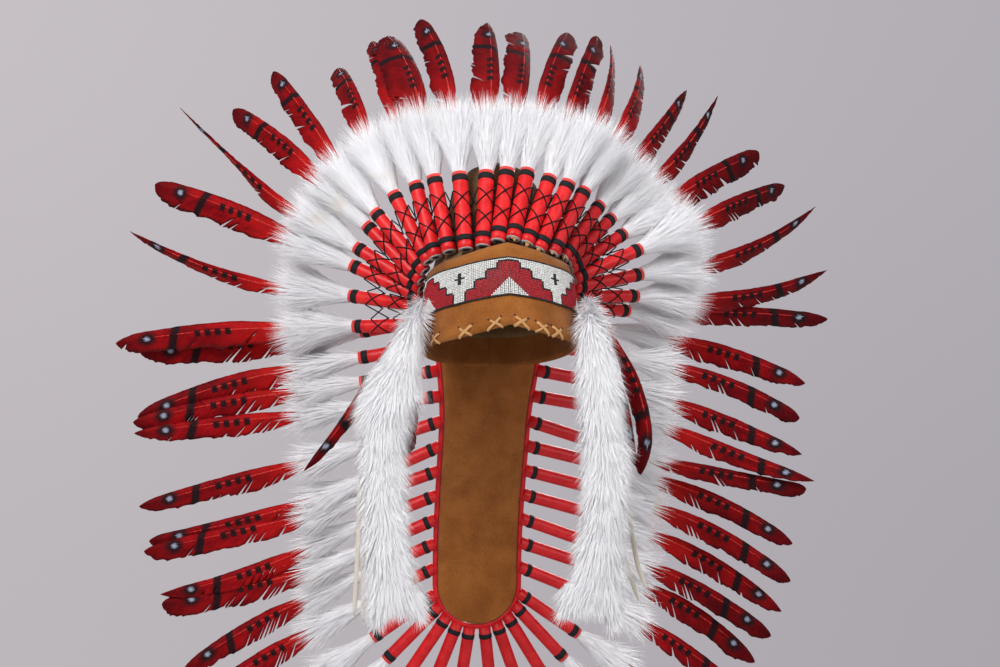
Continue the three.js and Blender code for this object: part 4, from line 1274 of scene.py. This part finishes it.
def make_cap():
    """The cap as one soft shell, open below."""
    def shell(u, v):
        place = v * (len(CAP_SECTIONS) - 1)
        k = min(int(place), len(CAP_SECTIONS) - 2)
        a, b, share = CAP_SECTIONS[k], CAP_SECTIONS[k + 1], place - k
        part = {key: lerp(a[key], b[key], share) for key in a}
        angle = 2 * math.pi * u
        point = oval_point(angle, part["half_width"], part["front"], part["back"], part["height"])
        crease = CAP_CREASE * noise.noise(Vector((point.x / 26, point.y / 26, point.z / 18)))
        return TO_HEAD @ (point * (1 + crease / CAP_RADIUS))

    bm = bmesh.new()
    made = mapped_grid(bm, 64, 30, shell)
    bmesh.ops.remove_doubles(bm, verts=made, dist=1e-4)
    rim = [edge for edge in bm.edges if edge.is_boundary and edge.verts[0].co.z > 120]
    bmesh.ops.holes_fill(bm, edges=rim, sides=70)
    bmesh.ops.smooth_vert(bm, verts=bm.verts, factor=0.5, use_axis_x=True, use_axis_y=True,
                          use_axis_z=True)
    bmesh.ops.recalc_face_normals(bm, faces=bm.faces)
    bmesh.ops.solidify(bm, geom=bm.faces[:], thickness=CAP_WALL)
    panels = [f"cap_panel_{side}" for side in ("front", "right", "left")]
    new_piece("cap_leather", bm, "cap_suede", [CAP_SUEDE], panels)


BAND_WALL = 2.3
BAND_TUCK = 3.5  # the upper edge reaches up in front of the sheaths


def make_band():
    """The brow band, with a rolled hem and edge."""
    def wall(u, v):
        angle = 2 * math.pi * u - math.pi
        low, high = band_hem(angle), band_top(angle) + BAND_TUCK * max(0.0, math.cos(angle))
        height = lerp(low, high, v)
        ripple = 0.35 * noise.noise(Vector((angle * 9, height / 16, 0)))
        curl = 0.7 * (1 - smooth(0, 0.08, v)) + 0.5 * smooth(0.93, 1, v)
        return wall_point(angle, height, ripple + curl - 0.2)

    bm = bmesh.new()
    made = mapped_grid(bm, 180, 12, wall)
    bmesh.ops.remove_doubles(bm, verts=made, dist=1e-3)
    bmesh.ops.recalc_face_normals(bm, faces=bm.faces)
    bmesh.ops.solidify(bm, geom=bm.faces[:], thickness=BAND_WALL)
    new_piece("brow_band_leather", bm, "band_suede", [BAND_SUEDE], ["brow_band"])


# Cross stitches along the hem: arc from the middle of the forehead.
STITCH_ARCS = (-88, -47, -16, 12, 33, 52, 88)
STITCH_HALF = 6.2
STITCH_RISE = 10
STITCH_COURSE = table("share_up out", (
    (-0.12, -1.2), (0.0, 0.9), (0.3, 1.7), (0.6, 1.6), (0.86, 1.0), (1.0, -1.3),
))


def make_stitches():
    """Pairs of crossed thongs along the band's hem, with near-black discs as painted shade in their
    holes.
    """
    fine = arc_angles(20, 130, 1.0)
    middle = len(fine) // 2
    straps, holes = bmesh.new(), bmesh.new()
    dice = random.Random(4)
    for arc in STITCH_ARCS:
        for way in (-1, 1):
            lean = dice.uniform(-1, 1)
            points = []
            lift = 0.35 if way > 0 else 0.0
            for course in STITCH_COURSE:
                share = course["share_up"]
                angle = fine[int(middle + arc + way * STITCH_HALF * (2 * share - 1) + lean)]
                height = band_hem(angle) + STITCH_RISE * share
                points.append(wall_point(angle, height, course["out"] + lift))
            line, length = route_line(points, (points[2] - Vector((0, 0, points[2].z))), 24)
            width = 1.5 + 0.25 * dice.uniform(-1, 1)
            tube(straps, 8, 14, lambda u, v: oval(line(v * length), width, 0.5, u))
            angle = fine[int(middle + arc + way * (STITCH_HALF + 0.6) + lean)]
            hole = wall_point(angle, band_hem(angle) + STITCH_RISE + 1.2, 0.0)
            outward = (wall_point(angle, 20, 5) - wall_point(angle, 20, 0)).normalized()
            turn = outward.to_track_quat("Z", "Y").to_matrix().to_4x4()
            # A near-black disc on the band: painted shade for the stitch hole.
            bmesh.ops.create_cone(holes, cap_ends=True, segments=10, radius1=1.15, radius2=0.95,
                                  depth=0.5, matrix=Matrix.Translation(hole) @ turn)
    new_piece("hem_stitches", straps, "tan_thong", [TAN_THONG])
    new_piece("hem_stitch_holes", holes, "black_cloth", [HOLLOW_SHADE])


BEAD_ROWS = 24
BEAD_STEP = 2.0
BEAD_PERIOD = 53  # beads from one stepped hill to the next
HILL_STEPS = table("first_row last_row half_width", (
    (3, 6, 5), (7, 11, 11), (12, 16, 17), (17, 22, 22),
))
INNER_FROM, INNER_SLOPE = 13, 1.05  # the white hill inside a red one
CROSS_ROW, CROSS_ARM = 8, 2  # the small crosses between the hills
STRIP_COLUMNS = 63  # to each side of the middle one
BEAD_OUT = 1.55  # of the band's wall
WARP_INSIDE, WARP_OUTSIDE, WARP_INSET = 0.5, 1.3, 0.4


def hill(column, row):
    """What a stepped hill shows at a bead: 'red', 'inner' or None."""
    near = abs((column + BEAD_PERIOD // 2) % BEAD_PERIOD - BEAD_PERIOD // 2)
    if row >= INNER_FROM and near <= (row - INNER_FROM) * INNER_SLOPE:
        return "inner" if row < BEAD_ROWS - 1 else None
    for step in HILL_STEPS:
        if step["first_row"] <= row <= step["last_row"] and near <= step["half_width"]:
            return "red"
    return None


def bead_colour(column, row):
    if row in (0, BEAD_ROWS - 1) or abs(column) == STRIP_COLUMNS:
        return "black"
    shown = hill(column, row)
    if shown:
        return "red" if shown == "red" else "white"
    around = ((column - 1, row), (column + 1, row), (column, row - 1), (column, row + 1))
    if any(hill(*cell) == "red" for cell in around if cell[1] < BEAD_ROWS - 1):
        return "black"
    half = BEAD_PERIOD // 2
    across = abs((column + half) % BEAD_PERIOD - half) - (half + 0.5)
    if (abs(across) < 1 and abs(row - CROSS_ROW) <= CROSS_ARM + 1) or (
            abs(across) <= CROSS_ARM + 1 and row == CROSS_ROW):
        return "black"
    return "white"


def bead_shape():
    """One barrel-shaped bead along X."""
    bm = bmesh.new()
    rings = ((-0.84, 0.62), (0, 0.95), (0.84, 0.62))

    def barrel(u, v):
        along, radius = rings[round(v * 2)]
        angle = 2 * math.pi * (u + 1 / 12)
        return Vector((along, radius * math.cos(angle), radius * math.sin(angle)))

    tube(bm, 6, 2, barrel)
    bmesh.ops.recalc_face_normals(bm, faces=bm.faces)
    return finished_mesh("bead", bm)


def make_beadwork():
    angles = arc_angles(45, STRIP_COLUMNS * BEAD_STEP + 3, BEAD_STEP)
    middle = len(angles) // 2
    shape = bead_shape()
    colours = {"white": bmesh.new(), "red": bmesh.new(), "black": bmesh.new()}
    dice = random.Random(7)
    for column in range(-STRIP_COLUMNS, STRIP_COLUMNS + 1):
        angle = angles[middle + column]
        top = STRIP_SIDE + STRIP_CREST * crest(angle)
        for row in range(BEAD_ROWS):
            height = top - STRIP_HEIGHT * (row + 0.5) / BEAD_ROWS + dice.uniform(-0.09, 0.09)
            here = wall_point(angle, height, BEAD_OUT + dice.uniform(-0.12, 0.12))
            along = wall_point(angle + 0.01, height, 1.5) - wall_point(angle - 0.01, height, 1.5)
            up = wall_point(angle, height + 1, 1.5) - wall_point(angle, height, 1.5)
            x = along.normalized()
            y = up.cross(x).normalized()
            matrix = Matrix((x, y, x.cross(y))).transposed().to_4x4()
            matrix = matrix @ Matrix.Rotation(dice.uniform(-0.05, 0.05), 4, "Y")
            size = dice.uniform(0.95, 1.05)
            bead = shape.copy()
            bead.transform(Matrix.Translation(here) @ matrix @ Matrix.Diagonal((1, size, size, 1)))
            colours[bead_colour(column, row)].from_mesh(bead)
            bpy.data.meshes.remove(bead)
    bpy.data.meshes.remove(shape)
    for name, material in (("white", WHITE_BEAD), ("red", RED_BEAD), ("black", BLACK_BEAD)):
        new_piece(f"{name}_seed_beads", colours[name], f"{name}_beads", [material], ["bead_strip"])

    def warp(u, v):
        angle = lerp(angles[middle - STRIP_COLUMNS], angles[middle + STRIP_COLUMNS], v)
        top = STRIP_SIDE + STRIP_CREST * crest(angle)
        corner = round(u * 4) % 4
        height = top - (STRIP_HEIGHT - WARP_INSET if corner in (0, 1) else WARP_INSET)
        return wall_point(angle, height, WARP_INSIDE if corner in (0, 3) else WARP_OUTSIDE)

    bm = bmesh.new()
    tube(bm, 4, 120, warp)
    new_piece("bead_warp", bm, "white_beads", [WARP_THREAD], ["bead_strip"])


TASSEL_ANGLE = 1.42
TASSEL_THREADS = table("name material slot count", (
    ("red", RED_THREAD, "red_cloth", 7),
    ("white", WHITE_THREAD, "white_beads", 4),
    ("black", BLACK_RIBBON, "black_cloth", 3),
))


def make_thread_tassels():
    """Loose ends of the loom's threads at both ends of the beadwork."""
    dice = random.Random(21)
    for side, way in (("right", 1), ("left", -1)):
        for kind in TASSEL_THREADS:
            bm = bmesh.new()
            for _ in range(kind["count"]):
                angle = way * (TASSEL_ANGLE + dice.uniform(-0.05, 0.05))
                first = wall_point(angle, dice.uniform(40, 62), 2.2)
                fall = dice.uniform(24, 42)
                lean = way * dice.uniform(0, 5)
                points = (first, first + Vector((lean * 0.6, -3.0, -fall * 0.4)),
                          first + Vector((lean, -dice.uniform(2.5, 5), -fall)))
                add_cord(bm, smooth_route(points, 9), 0.45, 5)
            new_piece(f"{kind['name']}_threads_{side}", bm, kind["slot"], [kind["material"]])


# ---------------------------------------------------------------- trailer

def trailer_back(z):
    t = TRAILER
    return lerp(t["back_at_cap"], t["back_at_end"], smooth(-t["leave_cap"], -t["reach_back"], -z))


def trailer_half_width(z):
    t = TRAILER
    share = smooth(-t["narrow_from"], -t["narrow_to"], -z)
    return lerp(t["top_half_width"], t["half_width"], share)


def trailer_edge(side, row):
    """Where a plume sits on the strip's edge, and the way out from it."""
    t = TRAILER
    if row < t["straight_rows"]:
        z = t["first_row"] - t["row_spacing"] * row
        return side * (trailer_half_width(z) + t["seat"]), z
    angle = math.radians(t["arc_first"] + t["arc_spacing"] * (row - t["straight_rows"]))
    reach = t["half_width"] + t["seat"]
    return side * reach * math.cos(angle), t["arc_centre"] - reach * math.sin(angle)


def make_trailer_strip():
    """The suede strip down the back, with a round end."""
    t = TRAILER
    end = t["arc_centre"] - t["half_width"] + 0.3

    def strip(u, v):
        z = lerp(t["top"], end, v)
        below = max(0.0, t["arc_centre"] - z)
        half = trailer_half_width(z) if not below else math.sqrt(t["half_width"] ** 2 - below ** 2)
        x = lerp(-half, half, u)
        sag = 1.2 * noise.noise(Vector((x / 40, z / 40, 3)))
        return Vector((x, trailer_back(z) + sag - 1.4, z))

    bm = bmesh.new()
    mapped_grid(bm, 20, 80, strip)
    bmesh.ops.recalc_face_normals(bm, faces=bm.faces)
    bmesh.ops.solidify(bm, geom=bm.faces[:], thickness=2.2)
    new_piece("trailer_leather", bm, "band_suede", [BAND_SUEDE], ["trailer_strip"])


def make_trailer_plumes(name, side, rows):
    """One side's plumes. Those on the left are more torn, and those on the right are darker."""
    node = f"trailer_plumes_{name}"
    vanes, tufts = feather_mesh(), core_mesh()
    cloth, bands = bmesh.new(), bmesh.new()
    layer = cloth.verts.layers.float_vector.new("along")
    for i, row in enumerate(rows):
        x, z = trailer_edge(side, i)
        full = {**row, "x": x, "y": trailer_back(z), "z": z, "fan": side * (90 + row["slope"]),
                "turn": side * row["turn"], "tube": TRAILER["tube"]}
        line = plume_line(full)
        seed = i + (40 if side < 0 else 60)
        tears = small_tears(seed, row["length"], 4 if side < 0 else 2)
        tone = 0.5 * (i * 5 % 7) / 6 + (0.35 if side > 0 else 0.0)
        add_feather(vanes, line, row["length"], row["wide"], row["point"], side, seed, tears, tone)
        add_tuft(tufts, line, lambda along: lerp(6.2, 14.0, smooth(-6, 56, along)),
                 lambda along: lerp(5.4, 7.4, smooth(-6, 50, along)), seed)
        add_wall(cloth, line, full, -SHEATH_LENGTH, 0, 0.0, 6, layer, 0.3)
        add_top_band(bands, line, full, 4)
        low = -SHEATH_LENGTH + LOW_BAND_FROM_END
        add_wall(bands, line, full, low, low + LOW_BAND_HEIGHT, 0.5, 4)
    new_piece(f"trailer_feathers_{name}", vanes, "red_feather", [VANE], [node])
    tuft = new_piece(f"trailer_fluff_{name}", tufts, "white_fur", [], [node])
    grow_fur(tuft, CROWN_FLUFF, density=245000.0, length=0.036, width=0.001, lift=0.08, clump=0.5,
             stray=0.1, seed=9, clump_scale=70.0)
    new_piece(f"trailer_sheath_cloth_{name}", cloth, "red_cloth", [RED_WRAP], [node])
    new_piece(f"trailer_black_bands_{name}", bands, "black_cloth", [BLACK_RIBBON], [node])


BINDING_OUT = 3  # of the strip's edge
BINDING_RADIUS, BINDING_STEP = 3.2, 8


def make_trailer_binding():
    """The red edging that the trailer's sheaths are sewn to."""
    t = TRAILER

    def edge(side, z):
        return Vector((side * (trailer_half_width(z) + BINDING_OUT), trailer_back(z), z))

    down = range(t["first_row"] + 8, t["arc_centre"], -BINDING_STEP)
    up = range(t["arc_centre"] + 4, t["first_row"] + 9, BINDING_STEP)
    reach = t["half_width"] + BINDING_OUT
    points = [edge(1, z) for z in down]
    for degrees in range(0, 181, 9):
        angle = math.radians(degrees)
        z = t["arc_centre"] - reach * math.sin(angle)
        points.append(Vector((reach * math.cos(angle), trailer_back(z), z)))
    points += [edge(-1, z) for z in up]
    bm = bmesh.new()
    layer = bm.verts.layers.float_vector.new("along")
    for vert in add_cord(bm, points, BINDING_RADIUS, 8, 3.0):
        vert[layer] = (-20, 0.3, 0)
    new_piece("trailer_binding", bm, "red_cloth", [RED_WRAP],
              ["trailer_plumes_left", "trailer_plumes_right"])


# ---------------------------------------------------------------- fur drops and loose feathers

HAIR_DEPTH, HAIR_CORE_SHARE = 9.0, 0.35  # how far hair stands out of a core, and its least size


def make_fur_drop(name):
    """A long tail of fur that hangs from a temple and ends in lobes."""
    rows, tips = DROPS[name]["rows"], DROPS[name]["tips"]
    bm = core_mesh()
    flow_layer = bm.verts.layers.float_vector["flow"]
    reach_layer = bm.verts.layers.float["reach"]

    def at(z):
        """The section at a height, between the table's rows."""
        k = 0
        while k < len(rows) - 2 and rows[k + 1]["z"] > z:
            k += 1
        a, b = rows[k], rows[k + 1]
        straight = clamp((a["z"] - z) / (a["z"] - b["z"]))
        share = lerp(straight, smooth(0, 1, straight), 0.5)
        return {key: lerp(a[key], b[key], share) for key in a}

    def inner(half):
        """Half a size of the core, inside its hair."""
        return max(half - HAIR_DEPTH, HAIR_CORE_SHARE * half)

    def core(u, v):
        part = at(lerp(rows[0]["z"], rows[-1]["z"], v))
        angle = 2 * math.pi * u
        lump = 1 + 0.12 * noise.noise(Vector((part["x"] / 10 + 2 * math.cos(angle),
                                              2 * math.sin(angle), part["z"] / 16)))
        wide, deep = inner(part["half_width"]) * lump, inner(part["half_depth"]) * lump
        return Vector((part["x"] + wide * math.cos(angle), part["y"] - deep * math.sin(angle),
                       part["z"]))

    for vert in tube(bm, 24, 44, core):
        part, below = at(vert.co.z), at(vert.co.z - 12)
        out = Vector((vert.co.x - part["x"], (vert.co.y - part["y"]) * 0.6, 0))
        drift = Vector((below["x"] - part["x"], below["y"] - part["y"], -12)) / 12
        crown = smooth(6, 44, vert.co.z)
        vert[flow_layer] = (drift * (1 - 0.6 * crown) + out * (0.020 + 0.10 * crown)
                            + Vector((0, -0.35, 0.25)) * crown)
        vert[reach_layer] = lerp(1.0, 0.75, crown)
    end = rows[-1]
    for tip in tips:
        def lobe(u, v):
            x = lerp(tip["root_x"], tip["x"], v)
            z = lerp(end["z"], tip["z"], v) + 16
            width = lerp(end["half_width"] * 0.42, 3.0, v)
            return Vector((x + width * math.cos(2 * math.pi * u),
                           end["y"] - 0.7 * width * math.sin(2 * math.pi * u), z))

        for vert in tube(bm, 14, 6, lobe):
            out = vert.co.x - lerp(tip["root_x"], tip["x"], 0.5)
            vert[flow_layer] = Vector((tip["x"] - tip["root_x"] + out * 0.5, 0, -30)).normalized()
            vert[reach_layer] = 0.85
    piece = new_piece(f"fur_tail_{name}", bm, "white_fur", [], [f"fur_drop_{name}"])
    grow_fur(piece, DROP_FUR, density=730000.0, length=0.025, width=0.0007, lift=0.24, clump=0.85,
             stray=0.14, seed=3 if name == "left" else 4, clump_scale=60.0)


LONG_FEATHER = 230  # shorter ones have no tears


def make_drop_feathers(name):
    """The loose feathers behind a fur drop."""
    side = -1 if name == "left" else 1
    bm = feather_mesh()
    for number, feather in enumerate(DROP_FEATHERS[name]):
        seed = 90 + number + (0 if name == "left" else 5)
        line, length = route_line(feather["points"], FRONT)
        tears = small_tears(seed, length, 1) if length > LONG_FEATHER else []
        add_feather(bm, line, length, feather["wide"], feather["point"], side, seed, tears, 0.7,
                    start=length * 0.22)
    new_piece(f"temple_feathers_{name}", bm, "red_feather", [VANE], [f"drop_feathers_{name}"])


# ---------------------------------------------------------------- stage

FLOOR_GAP, FLOOR_RADIUS = 0.02, 1.5  # in metres
# Painted light falloff: the backdrop is lighter to the left and darker to the right.
BACKDROP_LEFT = (0.565, 0.527, 0.552)
BACKDROP_RIGHT = (0.448, 0.421, 0.458)
BACKDROP_LOW = 0.9  # painted shade: how bright its lower edge is, against the upper one


def make_stage():
    bm = bmesh.new()
    floor_height = cad_box[0][2] - FLOOR_GAP
    bmesh.ops.create_circle(bm, cap_ends=True, segments=96, radius=FLOOR_RADIUS,
                            matrix=Matrix.Translation((0, 0.05, floor_height)))
    floor = add_object("floor", finished_mesh("floor", bm))
    material, tree, shader = new_material("floor")
    shade = fine_noise(tree, object_place(tree), 6.0, 2.0)
    colour = blend(tree, shade, (0.50, 0.485, 0.50), (0.54, 0.525, 0.54))
    finish_shader(tree, shader, colour, 0.8)
    floor.data.materials.append(material)


def make_world():
    """A pale backdrop for the camera, with painted shade that darkens it to the right and towards
    its lower edge, and a soft fill for the object.
    """
    world = bpy.data.worlds.new("studio")
    scene.world = world
    world.use_nodes = True
    tree = world.node_tree
    tree.nodes.clear()
    seen = put(tree, "ShaderNodeLightPath").outputs["Is Camera Ray"]
    looking = put(tree, "ShaderNodeSeparateXYZ", {
        0: put(tree, "ShaderNodeTexCoord").outputs["Generated"]}).outputs
    # Painted light falloff on the backdrop: darker to the right and towards its lower edge.
    tint = blend(tree, ramp(tree, looking[0], -0.12, 0.38), BACKDROP_LEFT, BACKDROP_RIGHT)
    backdrop = put(tree, "ShaderNodeBackground", {
        "Color": tint, "Strength": ramp(tree, looking[2], -0.15, 0.15, BACKDROP_LOW, 1.0)})
    fill = put(tree, "ShaderNodeBackground", {"Color": (0.95, 0.96, 1.0, 1), "Strength": 0.22})
    mixed = put(tree, "ShaderNodeMixShader", {0: seen, 1: fill.outputs[0], 2: backdrop.outputs[0]})
    put(tree, "ShaderNodeOutputWorld", {0: mixed.outputs[0]})


LIGHTS = table("x y z power size", (
    (-1.4, -2.3, 1.6, 76, 1.0),
    (1.9, -1.9, 0.9, 23, 1.4),
    (0.0, -0.4, 2.4, 12, 1.4),
    (0.6, 2.2, 0.9, 42, 1.5),
))


LIGHT_AIM = Vector((0, 0.05, -0.05))


def make_lights():
    for number, row in enumerate(LIGHTS):
        data = bpy.data.lights.new(f"soft_{number}", "AREA")
        data.energy = row["power"]
        data.size = row["size"]
        light = add_object(f"soft_{number}", data)
        light.location = (row["x"], row["y"], row["z"])
        aim = LIGHT_AIM - light.location
        light.rotation_euler = aim.to_track_quat("-Z", "Y").to_euler()


# ---------------------------------------------------------------- the headdress

make_camera()
make_ties("left")
make_ties("right")
make_cap()
make_band()
make_stitches()
make_beadwork()
make_thread_tassels()
make_crown()
make_trailer_strip()
make_trailer_binding()
make_trailer_plumes("left", -1, TRAILER_LEFT)
make_trailer_plumes("right", 1, TRAILER_RIGHT)
for side in ("left", "right"):
    make_fur_drop(side)
    make_drop_feathers(side)
make_stage()
make_world()
make_lights()
scene.view_settings.view_transform = "Standard"

for strand in list(STRANDS.objects):
    bpy.data.objects.remove(strand)
bpy.data.collections.remove(STRANDS)
